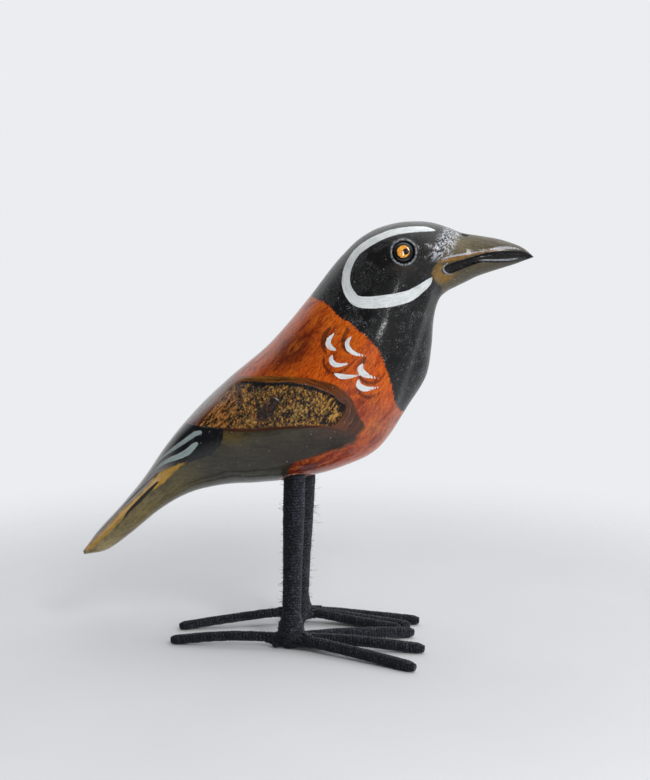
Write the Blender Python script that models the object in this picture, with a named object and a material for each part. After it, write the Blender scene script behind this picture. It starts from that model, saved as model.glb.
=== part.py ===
"""A carved and painted wooden bird that stands on two wire legs wrapped in black thread.

Metres, +Z up. The bird looks along +X and its left side is +Y. The origin is on the
ground, under the middle of the whole figure.
"""

import math

import bmesh
import bpy
import numpy as np
from mathutils import Vector
from mathutils.bvhtree import BVHTree

# Where the body's middle plane stands in the part's frame. The feet are not symmetric, so
# the middle of the whole figure is not the middle of the body.
BIRD_SHIFT = (0.0018, 0.0089, 0.0)

# The gap that keeps two touching pieces apart.
FIT_GAP = 0.0003

# The carved body is a loft. Each station is a line across the side view, from the back or
# crown down to the belly or throat, and the section that stands on that line.
# Columns: top x, top z, bottom x, bottom z, half width, squareness, widest level
# (squareness 2 is an ellipse; the widest level is a share of the half height above the middle).
BODY_STATIONS = (
    (-0.0838, 0.0305, -0.0831, 0.0286, 0.0022, 2.3, 0.10),  # tail tip
    (-0.0776, 0.0387, -0.0747, 0.0307, 0.0052, 2.5, 0.25),
    (-0.0699, 0.0471, -0.0655, 0.0374, 0.0072, 2.6, 0.32),
    (-0.0603, 0.0587, -0.0549, 0.0463, 0.0090, 2.6, 0.32),
    (-0.0507, 0.0726, -0.0436, 0.0531, 0.0118, 2.5, 0.26),  # root of the tail
    (-0.0399, 0.0853, -0.0305, 0.0567, 0.0160, 2.3, 0.15),
    (-0.0287, 0.0960, -0.0169, 0.0580, 0.0200, 2.2, 0.05),
    (-0.0147, 0.1080, -0.0010, 0.0602, 0.0224, 2.1, 0.00),
    (-0.0056, 0.1181, 0.0136, 0.0646, 0.0230, 2.1, 0.00),  # widest part of the body
    (0.0020, 0.1276, 0.0266, 0.0720, 0.0220, 2.1, 0.00),
    (0.0083, 0.1359, 0.0364, 0.0868, 0.0199, 2.0, 0.00),  # breast
    (0.0131, 0.1416, 0.0430, 0.0984, 0.0179, 2.0, 0.05),
    (0.0181, 0.1464, 0.0447, 0.1090, 0.0163, 2.0, 0.10),  # nape and throat
    (0.0241, 0.1502, 0.0454, 0.1187, 0.0152, 2.0, 0.15),
    (0.0312, 0.1524, 0.0471, 0.1252, 0.0145, 2.0, 0.15),
    (0.0383, 0.1531, 0.0499, 0.1282, 0.0136, 2.0, 0.12),  # crown
    (0.0443, 0.1527, 0.0530, 0.1299, 0.0123, 2.0, 0.08),
    (0.0500, 0.1511, 0.0566, 0.1317, 0.0102, 1.9, 0.02),
    (0.0549, 0.1492, 0.0601, 0.1335, 0.0080, 1.8, -0.05),  # root of the beak
    (0.0606, 0.1483, 0.0650, 0.1353, 0.0062, 1.8, -0.05),
    (0.0666, 0.1474, 0.0695, 0.1368, 0.0048, 1.8, 0.00),
    (0.0718, 0.1460, 0.0737, 0.1382, 0.0036, 1.8, 0.05),
    (0.0761, 0.1443, 0.0769, 0.1394, 0.0024, 1.9, 0.05),
    (0.0789, 0.1422, 0.0793, 0.1403, 0.0012, 2.0, 0.00),
    (0.0801, 0.1411, 0.0802, 0.1407, 0.0004, 2.0, 0.00),  # beak tip
)
RINGS_PER_STATION = 3
RING_POINTS = 38
TAIL_END_BULGE = 0.0006
BEAK_END_BULGE = 0.0002

# The knife line where the head meets the beak, seen from the side, and how far the sides
# step in from the head to the beak across it.
BEAK_LINE_LOW = Vector((0.0465, 0.1310))
BEAK_LINE_HIGH = Vector((0.0520, 0.1490))
BEAK_STEP = 0.16
BEAK_STEP_WIDTH = 0.0030
BEAK_STEP_END_X = 0.0660

# The mouth, a groove along each side of the beak: x, z of its middle, and half its height.
MOUTH_LINE = (
    (0.0484, 0.1362, 0.0009),
    (0.0498, 0.1366, 0.0017),
    (0.0539, 0.1381, 0.0017),
    (0.0566, 0.1390, 0.0015),
    (0.0594, 0.1400, 0.0014),
    (0.0618, 0.1406, 0.0015),
    (0.0646, 0.1410, 0.0017),
    (0.0674, 0.1412, 0.0018),
    (0.0698, 0.1413, 0.0018),
    (0.0726, 0.1414, 0.0017),
    (0.0754, 0.1414, 0.0014),
    (0.0779, 0.1412, 0.0009),
    (0.0792, 0.1411, 0.0004),
)
MOUTH_DEPTH = 0.0013
MOUTH_DEEPEST_SHARE = 0.35  # of the half width that is there
MOUTH_FLOOR_SHARE = 0.3  # height of the groove's floor, as a share of its mouth
MOUTH_CUTTER_PROUD = 0.002

# A short nick on each side of the ridge, at the root of the beak.
NOSTRIL_PLACE = Vector((0.0556, 0.0018, 0.1488))
NOSTRIL_HALF_SIZES = (0.0017, 0.0010, 0.0007)

# The eyes: a raised rim carved in the head, a drilled socket and a domed bead set in it.
EYE_X, EYE_Z = 0.0352, 0.1434
EYE_RADIUS = 0.0034
EYE_DOME = 0.0015
EYE_SUNK = 0.0016
EYE_RIM_RADIUS = 0.0043
EYE_RIM_THICK = 0.00055  # the rim's inner edge stays just outside the socket's wall
EYE_SOCKET_DEPTH = EYE_SUNK + 2 * FIT_GAP
ROUND_STEPS = 24

# The legs: straight and splayed towards the feet. The upper end of each is set in a blind
# hole, and the lower end swells where its thread binds the roots of the toes.
LEG_HOLE_DEPTH = 0.0075
LEG_SPLICE = 0.0010
LEG_RADII = (  # share of the way from the ground to the belly, radius
    (0.00, 0.0021),
    (0.04, 0.0038),
    (0.08, 0.0046),
    (0.14, 0.0042),
    (0.20, 0.0034),
    (0.40, 0.0034),
    (0.80, 0.0039),
    (1.00, 0.0039),
)
LEG_SIDES_RESOLUTION = 6
TOE_ARCH = 0.0005
TOE_SIDES_RESOLUTION = 3
TOE_STEPS = 3
TOE_ROOT_SHARES = (1.25, 1.15, 1.05)  # how much thicker a toe is where it leaves the foot
TOE_END_SHARE = 0.85  # how much of its radius a toe keeps at its blunt end
KNOT_RADIUS = 0.0012
KNOT_SIDES_RESOLUTION = 2
GROUND_BITE = 0.0003  # how far round thread is pressed flat where it meets the ground
GROUND_BLOCK = (0.2, 0.2, 0.02)

# Each leg: the middle of its foot on the ground, where it meets the belly, the height at which
# the toes start and the toes, the back one first. A toe has a middle point, the place on the
# ground of its end, and a radius.
LEGS = {
    "right": {
        "foot": (-0.0045, -0.0155, 0.0),
        "belly": (-0.0040, -0.0072, 0.0612),
        "toe_root": 0.0031,
        "toes": (
            ((-0.0285, -0.0150, 0.0034), (-0.0485, -0.0158), 0.00180),
            ((0.0187, -0.0266, 0.0028), (0.0418, -0.0392), 0.00205),
            ((0.0192, -0.0158, 0.0034), (0.0440, -0.0174), 0.00200),
            ((0.0191, -0.0068, 0.0036), (0.0390, 0.0020), 0.00205),
        ),
        "knot": (-0.0108, -0.0166, 0.0008),
    },
    "left": {
        "foot": (-0.0056, 0.0165, 0.0),
        "belly": (-0.0019, 0.0072, 0.0598),
        "toe_root": 0.0040,
        "toes": (
            ((-0.0296, 0.0086, 0.0030), (-0.0485, 0.0014), 0.00170),
            ((0.0152, 0.0124, 0.0026), (0.0335, 0.0078), 0.00175),
            ((0.0168, 0.0146, 0.0028), (0.0371, 0.0106), 0.00185),
            ((0.0177, 0.0182, 0.0030), (0.0402, 0.0174), 0.00190),
        ),
        "knot": (-0.0112, 0.0185, 0.0010),
    },
}

# Paint and thread: base colour, roughness.
WOOD_PAINT = ((0.42, 0.13, 0.04), 0.25)
EYE_GLASS = ((0.80, 0.35, 0.03), 0.08)
BLACK_THREAD = ((0.02, 0.02, 0.024), 0.95)


def clear_scene():
    for obj in list(bpy.data.objects):
        bpy.data.objects.remove(obj)


def new_collection(name):
    collection = bpy.data.collections.new(name)
    bpy.context.scene.collection.children.link(collection)
    return collection


def new_material(name, look):
    color, roughness = look
    material = bpy.data.materials.new(name)
    material.use_nodes = True
    shader = material.node_tree.nodes["Principled BSDF"]
    shader.inputs["Base Color"].default_value = (*color, 1.0)
    shader.inputs["Roughness"].default_value = roughness
    shader.inputs["Metallic"].default_value = 0.0
    return material


def smooth_rows(rows, steps):
    """Rows on one smooth curve through the given rows, with this many steps from each to the next."""
    table = np.array(rows, float)
    moves = np.linalg.norm(np.diff(table[:, :3], axis=0), axis=1)
    knots = np.concatenate([[0.0], np.cumsum(np.sqrt(moves))])
    slopes = np.gradient(table, knots, axis=0)
    found = []
    for i in range(len(table) - 1):
        span = knots[i + 1] - knots[i]
        for k in range(steps):
            t = k / steps
            found.append(
                table[i] * (2 * t**3 - 3 * t**2 + 1)
                + slopes[i] * span * (t**3 - 2 * t**2 + t)
                + table[i + 1] * (3 * t**2 - 2 * t**3)
                + slopes[i + 1] * span * (t**3 - t**2)
            )
    found.append(table[-1])
    return np.array(found)


def smoothstep(low, high, value):
    t = min(1.0, max(0.0, (value - low) / (high - low)))
    return t * t * (3 - 2 * t)


def section_point(row, angle):
    """The point of a body section at this angle from its top, before any carving."""
    top_x, top_z, bottom_x, bottom_z, half_width, squareness, widest = row
    top, bottom = Vector((top_x, 0, top_z)), Vector((bottom_x, 0, bottom_z))
    middle, up = (top + bottom) / 2, (top - bottom) / 2
    power = 2 / squareness
    c, s = math.cos(angle), math.sin(angle)
    rise = math.copysign(abs(c) ** power, c)
    side = math.copysign(abs(s) ** power, s)
    rise += widest * (1 - rise * rise)
    return middle + up * rise + Vector((0, half_width * side, 0))


def step_in_to_the_beak(point):
    """Narrows what lies ahead of the knife line between head and beak."""
    along = BEAK_LINE_HIGH - BEAK_LINE_LOW
    ahead = Vector((along.y, -along.x)).normalized()
    distance = (Vector((point.x, point.z)) - BEAK_LINE_LOW).dot(ahead)
    step = smoothstep(-BEAK_STEP_WIDTH / 2, BEAK_STEP_WIDTH / 2, distance)
    fade = 1 - smoothstep(BEAK_LINE_HIGH.x, BEAK_STEP_END_X, point.x)
    point.y *= 1 - BEAK_STEP * step * fade


def build_body_mesh():
    """The loft, closed by a point at the tail and at the beak."""
    rows = smooth_rows(BODY_STATIONS, RINGS_PER_STATION)
    bm = bmesh.new()
    rings = []
    for row in rows:
        ring = []
        for k in range(RING_POINTS):
            point = section_point(row, 2 * math.pi * k / RING_POINTS)
            step_in_to_the_beak(point)
            ring.append(bm.verts.new(point))
        rings.append(ring)
    for ring, after in zip(rings, rings[1:]):
        for k in range(RING_POINTS):
            n = (k + 1) % RING_POINTS
            bm.faces.new((ring[k], ring[n], after[n], after[k]))
    ends = ((rings[0], rings[1], TAIL_END_BULGE), (rings[-1], rings[-2], BEAK_END_BULGE))
    for ring, inner, bulge in ends:
        centre = sum((v.co for v in ring), Vector()) / RING_POINTS
        inner_centre = sum((v.co for v in inner), Vector()) / RING_POINTS
        tip = bm.verts.new(centre + (centre - inner_centre).normalized() * bulge)
        for k in range(RING_POINTS):
            bm.faces.new((ring[k], ring[(k + 1) % RING_POINTS], tip))
    bmesh.ops.recalc_face_normals(bm, faces=bm.faces)
    mesh = bpy.data.meshes.new("carved_body")
    bm.to_mesh(mesh)
    skin = BVHTree.FromBMesh(bm)
    bm.free()
    return mesh, skin


def add_object(name, mesh, material, collection, parent):
    obj = bpy.data.objects.new(name, mesh)
    if material:
        mesh.materials.clear()
        mesh.materials.append(material)
    collection.objects.link(obj)
    obj.parent = parent
    return obj


def add_helper(name, mesh, collection, parent):
    """An object that only cuts or joins another and never shows."""
    obj = add_object(name, mesh, None, collection, parent)
    obj.hide_render = True
    obj.display_type = "WIRE"
    return obj


def boolean(obj, other, operation):
    modifier = obj.modifiers.new(other.name, "BOOLEAN")
    modifier.operation = operation
    modifier.solver = "EXACT"
    modifier.object = other


def closed_mesh(name, make):
    bm = bmesh.new()
    make(bm)
    bmesh.ops.recalc_face_normals(bm, faces=bm.faces)
    mesh = bpy.data.meshes.new(name)
    bm.to_mesh(mesh)
    bm.free()
    return mesh


def cylinder_mesh(name, radius, depth, steps=ROUND_STEPS):
    def make(bm):
        bmesh.ops.create_cone(bm, cap_ends=True, segments=steps, radius1=radius, radius2=radius, depth=depth)

    return closed_mesh(name, make)


def turned_mesh(name, profile, steps=ROUND_STEPS):
    """A closed body turned round Z from a profile of (radius, height) that starts and ends on the axis."""

    def make(bm):
        points = [bm.verts.new((radius, 0, height)) for radius, height in profile]
        edges = [bm.edges.new(pair) for pair in zip(points, points[1:])]
        bmesh.ops.spin(bm, geom=points + edges, cent=(0, 0, 0), axis=(0, 0, 1), angle=2 * math.pi, steps=steps)
        bmesh.ops.remove_doubles(bm, verts=bm.verts, dist=1e-6)

    return closed_mesh(name, make)


def rim_mesh(name):
    """The raised ring round an eye, as a ring turned round Z."""

    def make(bm):
        section = []
        for k in range(6):
            angle = 2 * math.pi * k / 6
            radius = EYE_RIM_RADIUS + EYE_RIM_THICK * math.cos(angle)
            section.append(bm.verts.new((radius, 0, EYE_RIM_THICK * math.sin(angle))))
        edges = [bm.edges.new((section[k], section[(k + 1) % 6])) for k in range(6)]
        bmesh.ops.spin(bm, geom=section + edges, cent=(0, 0, 0), axis=(0, 0, 1), angle=2 * math.pi, steps=ROUND_STEPS)
        bmesh.ops.remove_doubles(bm, verts=bm.verts, dist=1e-6)

    return closed_mesh(name, make)


def eye_profile():
    """Back disc, side and dome of the bead, from the axis at the back to the axis at the front."""
    points = [(0.0, -EYE_SUNK), (EYE_RADIUS, -EYE_SUNK), (EYE_RADIUS, 0.0)]
    for k in range(1, 6):
        angle = math.pi / 2 * k / 5
        points.append((EYE_RADIUS * math.cos(angle), EYE_DOME * math.sin(angle)))
    return points


def place_on_side(obj, place, normal):
    obj.location = place
    obj.rotation_mode = "QUATERNION"
    obj.rotation_quaternion = normal.to_track_quat("Z", "Y")


def build_eyes(body, skin, parts, helpers, parent, material):
    for side, sign in (("right", -1), ("left", 1)):
        place, normal, _, _ = skin.ray_cast(Vector((EYE_X, sign * 0.1, EYE_Z)), Vector((0, -sign, 0)))
        rim = add_helper(f"eye_rim_{side}_shape", rim_mesh("eye_rim"), helpers, parent)
        place_on_side(rim, place, normal)
        socket_length = 2 * EYE_SOCKET_DEPTH
        socket_mesh = cylinder_mesh("eye_socket", EYE_RADIUS + FIT_GAP, socket_length)
        socket = add_helper(f"eye_socket_{side}_cutter", socket_mesh, helpers, parent)
        place_on_side(socket, place, normal)
        boolean(body, rim, "UNION")
        boolean(body, socket, "DIFFERENCE")
        bead = add_object(f"eye_{side}", turned_mesh("eye_bead", eye_profile()), material, parts, parent)
        place_on_side(bead, place, normal)


def cut_mouth(body, skin, helpers, parent):
    """Cuts the groove on each side with a loft of trapezoids that follows the side of the beak."""
    for side, sign in (("right", -1), ("left", 1)):

        def make(bm):
            rings = []
            for x, z, half in MOUTH_LINE:
                surface = abs(skin.ray_cast(Vector((x, sign * 0.1, z)), Vector((0, -sign, 0)))[0].y)
                floor = surface - min(MOUTH_DEPTH, MOUTH_DEEPEST_SHARE * surface)
                outside = surface + MOUTH_CUTTER_PROUD
                rim = half * (1 + (outside - surface) / MOUTH_DEPTH * (1 - MOUTH_FLOOR_SHARE))
                corners = ((rim, outside), (half * MOUTH_FLOOR_SHARE, floor))
                corners += tuple((-height, y) for height, y in reversed(corners))
                rings.append([bm.verts.new((x, sign * y, z + height)) for height, y in corners])
            for ring, after in zip(rings, rings[1:]):
                for k in range(4):
                    n = (k + 1) % 4
                    bm.faces.new((ring[k], ring[n], after[n], after[k]))
            bm.faces.new(rings[0])
            bm.faces.new(rings[-1])

        groove = add_helper(f"mouth_{side}_cutter", closed_mesh("mouth", make), helpers, parent)
        boolean(body, groove, "DIFFERENCE")


def cut_nostrils(body, helpers, parent):
    for side, sign in (("right", -1), ("left", 1)):

        def make(bm):
            bmesh.ops.create_uvsphere(bm, u_segments=12, v_segments=8, radius=1.0)
            bmesh.ops.scale(bm, vec=NOSTRIL_HALF_SIZES, verts=bm.verts)

        nick = add_helper(f"nostril_{side}_cutter", closed_mesh("nostril", make), helpers, parent)
        nick.location = (NOSTRIL_PLACE.x, sign * NOSTRIL_PLACE.y, NOSTRIL_PLACE.z)
        boolean(body, nick, "DIFFERENCE")


def tube_mesh(name, points, radii, resolution):
    """A closed round tube along the points, made as a curve with filled caps and then as a mesh."""
    curve = bpy.data.curves.new(name, "CURVE")
    curve.dimensions = "3D"
    curve.bevel_depth = 1.0
    curve.bevel_resolution = resolution
    curve.use_fill_caps = True
    spline = curve.splines.new("POLY")
    spline.points.add(len(points) - 1)
    for place, point, radius in zip(spline.points, points, radii):
        place.co = (*point, 1.0)
        place.radius = radius
    holder = bpy.data.objects.new(name, curve)
    bpy.context.scene.collection.objects.link(holder)
    bpy.context.view_layer.update()
    graph = bpy.context.evaluated_depsgraph_get()
    mesh = bpy.data.meshes.new_from_object(holder.evaluated_get(graph))
    bpy.data.objects.remove(holder)
    bm = bmesh.new()
    bm.from_mesh(mesh)
    bmesh.ops.remove_doubles(bm, verts=bm.verts, dist=1e-6)
    bmesh.ops.recalc_face_normals(bm, faces=bm.faces)
    bm.to_mesh(mesh)
    bm.free()
    return mesh


def toe_mesh(name, root, middle, end, radius):
    """A toe from inside the foot, over a low arch and its middle point, down to its blunt end."""
    arch = root.lerp(Vector(middle), 0.4) + Vector((0, 0, TOE_ARCH))
    tip = Vector((*end, radius - GROUND_BITE))
    path = smooth_rows([tuple(p) for p in (root, arch, Vector(middle), tip)], TOE_STEPS)
    shares = [*TOE_ROOT_SHARES, *[1.0] * (len(path) - len(TOE_ROOT_SHARES) - 1), TOE_END_SHARE]
    return tube_mesh(name, path, [radius * share for share in shares], TOE_SIDES_RESOLUTION)


def knot_mesh(name, root, end):
    """The cut end of the thread, which sticks out behind the foot."""
    points = [root.lerp(Vector(end), share) for share in (0.3, 0.8, 1.0)]
    radii = [KNOT_RADIUS * 1.2, KNOT_RADIUS, KNOT_RADIUS * 0.6]
    return tube_mesh(name, points, radii, KNOT_SIDES_RESOLUTION)


def build_leg(side, parts, helpers, parent, material):
    plan = LEGS[side]
    foot, belly = Vector(plan["foot"]), Vector(plan["belly"])
    direction = (belly - foot).normalized()
    points = [foot.lerp(belly, share) for share, _ in LEG_RADII]
    points[0].z -= LEG_SPLICE
    points.append(belly + direction * LEG_HOLE_DEPTH)
    radii = [radius for _, radius in LEG_RADII]
    radii.append(radii[-1])
    shaft = tube_mesh(f"leg_{side}", points, radii, LEG_SIDES_RESOLUTION)
    leg = add_object(f"leg_{side}", shaft, material, parts, parent)
    root = foot + Vector((0, 0, plan["toe_root"]))
    for number, (middle, end, radius) in enumerate(plan["toes"], 1):
        toe = toe_mesh(f"toe_{side}_{number}", root, middle, end, radius)
        boolean(leg, add_helper(f"toe_{side}_{number}_shape", toe, helpers, parent), "UNION")
    knot = knot_mesh(f"knot_{side}", root, plan["knot"])
    boolean(leg, add_helper(f"knot_{side}_shape", knot, helpers, parent), "UNION")
    return leg


def drill_leg_hole(side, body, helpers, parent):
    foot, belly = Vector(LEGS[side]["foot"]), Vector(LEGS[side]["belly"])
    radius = LEG_RADII[-1][1] + FIT_GAP
    bit = cylinder_mesh(f"leg_hole_{side}", radius, 2 * (LEG_HOLE_DEPTH + FIT_GAP))
    drill = add_helper(f"leg_hole_{side}_cutter", bit, helpers, parent)
    place_on_side(drill, belly, (belly - foot).normalized())
    boolean(body, drill, "DIFFERENCE")


def build_ground_cutter(helpers, parent):
    """A block under the ground. It presses the round thread flat where the feet stand."""

    def make(bm):
        bmesh.ops.create_cube(bm, size=1.0)
        bmesh.ops.scale(bm, vec=GROUND_BLOCK, verts=bm.verts)

    block = add_helper("ground_cutter", closed_mesh("ground", make), helpers, parent)
    block.location = (0, 0, -GROUND_BLOCK[2] / 2)
    return block


def shade(obj):
    obj.data.shade_smooth()
    obj.data.set_sharp_from_angle(angle=math.radians(40))


def main():
    clear_scene()
    parts = new_collection("wooden_bird_figurine")
    helpers = new_collection("cutters")
    bird = bpy.data.objects.new("bird", None)
    bird.location = BIRD_SHIFT
    parts.objects.link(bird)

    painted_wood = new_material("painted_wood", WOOD_PAINT)
    eye_glass = new_material("eye_glass", EYE_GLASS)
    black_thread = new_material("black_thread", BLACK_THREAD)

    body_mesh, skin = build_body_mesh()
    body = add_object("body", body_mesh, painted_wood, parts, bird)
    build_eyes(body, skin, parts, helpers, bird, eye_glass)
    cut_mouth(body, skin, helpers, bird)
    cut_nostrils(body, helpers, bird)
    ground = build_ground_cutter(helpers, bird)
    for side in LEGS:
        leg = build_leg(side, parts, helpers, bird, black_thread)
        boolean(leg, ground, "DIFFERENCE")
        drill_leg_hole(side, body, helpers, bird)
        shade(leg)
    shade(body)


main()
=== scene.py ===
"""The looks of a carved, painted and varnished wooden bird on thread-bound legs.

Lengths and places are in millimetres in the bird's own frame, unless a name says otherwise:
+X is the way it looks, +Y its left side, +Z up, the ground is at zero and the body's middle
plane at Y zero. to_model() turns them into the model's metres.
"""
import math

import bpy
import numpy as np
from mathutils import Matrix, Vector, noise
from mathutils.bvhtree import BVHTree


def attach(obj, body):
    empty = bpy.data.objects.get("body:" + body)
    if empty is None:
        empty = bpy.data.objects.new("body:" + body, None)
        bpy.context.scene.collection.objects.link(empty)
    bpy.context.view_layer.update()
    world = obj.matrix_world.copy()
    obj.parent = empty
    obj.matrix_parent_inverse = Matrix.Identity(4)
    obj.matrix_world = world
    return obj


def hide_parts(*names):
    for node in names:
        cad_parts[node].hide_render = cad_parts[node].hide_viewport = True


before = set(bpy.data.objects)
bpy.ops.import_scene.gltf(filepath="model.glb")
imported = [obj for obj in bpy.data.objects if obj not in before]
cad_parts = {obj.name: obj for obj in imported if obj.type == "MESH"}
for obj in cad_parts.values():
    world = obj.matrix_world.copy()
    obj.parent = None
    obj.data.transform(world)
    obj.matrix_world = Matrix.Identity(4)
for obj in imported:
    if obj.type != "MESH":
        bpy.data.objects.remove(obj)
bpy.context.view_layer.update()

MM = 0.001
BIRD_SHIFT = np.array((1.8, 8.9, 0))

# The camera stands in front of the bird's right side and looks a little down on it.
CAMERA_TARGET = np.array((6.3, 0, 92))
CAMERA_DISTANCE = 650
CAMERA_AZIMUTH, CAMERA_PITCH = 6, 9.5
CAMERA_LENS = 83.1

# The carved body is a loft. Each station is a line across the side view, from the back or
# crown down to the belly or throat, and the section that stands on that line.
# Columns: top x, top z, bottom x, bottom z, half width, squareness, widest level.
BODY_STATIONS = (
    (-83.8, 30.5, -83.1, 28.6, 2.2, 2.3, 0.10),  # tail tip
    (-77.6, 38.7, -74.7, 30.7, 5.2, 2.5, 0.25),
    (-69.9, 47.1, -65.5, 37.4, 7.2, 2.6, 0.32),
    (-60.3, 58.7, -54.9, 46.3, 9, 2.6, 0.32),
    (-50.7, 72.6, -43.6, 53.1, 11.8, 2.5, 0.26),  # root of the tail
    (-39.9, 85.3, -30.5, 56.7, 16, 2.3, 0.15),
    (-28.7, 96, -16.9, 58, 20, 2.2, 0.05),
    (-14.7, 108, -1, 60.2, 22.4, 2.1, 0.00),
    (-5.6, 118.1, 13.6, 64.6, 23, 2.1, 0.00),  # widest part of the body
    (2, 127.6, 26.6, 72, 22, 2.1, 0.00),
    (8.3, 135.9, 36.4, 86.8, 19.9, 2, 0.00),  # breast
    (13.1, 141.6, 43, 98.4, 17.9, 2, 0.05),
    (18.1, 146.4, 44.7, 109, 16.3, 2, 0.10),  # nape and throat
    (24.1, 150.2, 45.4, 118.7, 15.2, 2, 0.15),
    (31.2, 152.4, 47.1, 125.2, 14.5, 2, 0.15),
    (38.3, 153.1, 49.9, 128.2, 13.6, 2, 0.12),  # crown
    (44.3, 152.7, 53, 129.9, 12.3, 2, 0.08),
    (50, 151.1, 56.6, 131.7, 10.2, 1.9, 0.02),
    (54.9, 149.2, 60.1, 133.5, 8, 1.8, -0.05),  # root of the beak
    (60.6, 148.3, 65, 135.3, 6.2, 1.8, -0.05),
    (66.6, 147.4, 69.5, 136.8, 4.8, 1.8, 0.00),
    (71.8, 146, 73.7, 138.2, 3.6, 1.8, 0.05),
    (76.1, 144.3, 76.9, 139.4, 2.4, 1.9, 0.05),
    (78.9, 142.2, 79.3, 140.3, 1.2, 2, 0.00),
    (80.1, 141.1, 80.2, 140.7, 0.4, 2, 0.00),  # beak tip
)
END_BULGES = (0.6, 0.2)
STEPS_BETWEEN_STATIONS = 60
HALF_TURN_STEPS = 720
BEAK_LINE_LOW = np.array((46.5, 131))
BEAK_LINE_HIGH = np.array((52, 149))
BEAK_STEP = 0.16
BEAK_STEP_WIDTH = 3
BEAK_STEP_END_X = 66

# How closely the body's mesh lies: ring spacing by the x of a ring's middle, and the spacing
# round a ring by its angle in degrees from the top, measured where the body is widest.
RING_SPACING = ((-84, 1), (-44, 1), (-39, 0.5), (16, 0.5), (21, 0.9), (31, 0.75),
                (34, 0.24), (44, 0.24), (48, 0.37), (81, 0.42))
ROUND_SPACING = ((0, 1.1), (36, 1.1), (42, 0.49), (116, 0.49), (124, 1.1), (138, 1.1),
                 (143, 0.65), (172, 0.65), (180, 1.1))
WIDEST_RADIUS = 25
SKIN_INSET = 0.08
HAND_CUT = 0.05
BARK_GRAIN_TILT = 48
BARK_CELL = 1.25

# The mouth: x, z of its middle, and half its height.
MOUTH_LINE = (
    (48.4, 136.2, 0.9), (49.8, 136.6, 1.7), (53.9, 138.1, 1.7), (56.6, 139, 1.5),
    (59.4, 140, 1.4), (61.8, 140.6, 1.5), (64.6, 141, 1.7), (67.4, 141.2, 1.8),
    (69.8, 141.3, 1.8), (72.6, 141.4, 1.7), (75.4, 141.4, 1.4), (77.9, 141.2, 0.9),
    (79.2, 141.1, 0.4),
)
MOUTH_STARTS = (48, 49)
MOUTH_ENDS = (78.4, 79.4)
MOUTH_DEPTH = 1.3
MOUTH_DEEPEST_SHARE = 0.35
MOUTH_FLOOR_SHARE = 0.55
NOSTRIL_PLACE = (55.6, 1.8)
NOSTRIL_HALF_SIZES = (1.7, 1, 0.7)
NOSTRIL_LOWEST = 145
FAR_OFF = 99.0

# The eyes.
EYE_X, EYE_Z = 35.2, 143.4
EYE_RADIUS = 3.4
EYE_DOME = 1.5
EYE_SUNK = 1.6
EYE_RIM_RADIUS = 4.4
EYE_RIM_HEIGHT = 0.55
EYE_RIM_WIDTH = 0.55
EYE_SOCKET_DEPTH = 1.9
EYE_DOME_RINGS = 25
EYE_SIDES = 96
EYE_BLUR = 0.1
IRIS_PLACE = (0, 0)
IRIS_RADIUS = 2.15
PUPIL_PLACE = (0.9, 0)
PUPIL_RADIUS = 1.1

# The legs and their thread.
LEG_IN_HOLE = 6.5
LEG_HOLE_SEEN_DEPTH = 2.6
LEG_HOLE_GAP = 0.35
LEG_HOLE_RAG = 0.35
LEG_RADII = (
    (0, 2.1), (0.04, 3.8), (0.08, 4.6), (0.14, 4.2), (0.20, 3.4), (0.40, 3.4), (0.80, 3.9), (1, 3.9),
)
TOE_ARCH = 0.5
TOE_SWELLS = ((0, 1.25), (0.11, 1.15), (0.22, 1.05), (0.33, 1), (0.93, 1), (0.97, 0.97), (1, 0.6))
GROUND_BITE = 0.3
LEGS = {
    "right": {
        "seed": 7,
        "foot": (-4.5, -15.5, 0),
        "belly": (-4, -7.2, 61.2),
        "toe_root": 3.1,
        "toes": (
            ((-28.5, -15, 3.4), (-48.5, -15.8), 1.80),
            ((18.7, -26.6, 2.8), (41.8, -39.2), 2.05),
            ((19.2, -15.8, 3.4), (44, -17.4), 2.00),
            ((19.1, -6.8, 3.6), (39, 2), 2.05),
        ),
        "knot": (-10.8, -16.6, 0.8),
    },
    "left": {
        "seed": 8,
        "foot": (-5.6, 16.5, 0),
        "belly": (-1.9, 7.2, 59.8),
        "toe_root": 4,
        "toes": (
            ((-29.6, 8.6, 3), (-48.5, 1.4), 1.70),
            ((15.2, 12.4, 2.6), (33.5, 7.8), 1.75),
            ((16.8, 14.6, 2.8), (37.1, 10.6), 1.85),
            ((17.7, 18.2, 3), (40.2, 17.4), 1.90),
        ),
        "knot": (-11.2, 18.5, 1),
    },
}
THREAD_PITCH = 1.05
THREAD_BULGE = 0.3
RINGS_PER_TURN = 8
SHAFT_SIDES = 40
TOE_SIDES = 22
KNOT_SHARES = (0.3, 0.6, 0.85, 1)
KNOT_RADII = (1.4, 1.2, 1.1, 0.8)
KNOT_SIDES = 14
BINDING_STRANDS = 26
BINDING_LEVELS = (2, 7)
BINDING_LEAN = 4.5
BINDING_REACH, BINDING_DEEPEST = 14, 9.2
BINDING_LIFT = 0.12
BINDING_RADIUS = 0.34
FUZZ_FIBRES = 900
FUZZ_RADIUS = 0.045
LOOP_CENTRE = (23.5, -15.5, 5)
LOOP_HALF_SIZES = (1.7, 0.7, 1.5)
LOOP_RADIUS = 0.11
STRAND_RIDGE = 0.8
SOLE_LEVEL = 0.02
SIDE_HINT = (0.31, 0.17, 0.93)  # not along any thread

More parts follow.
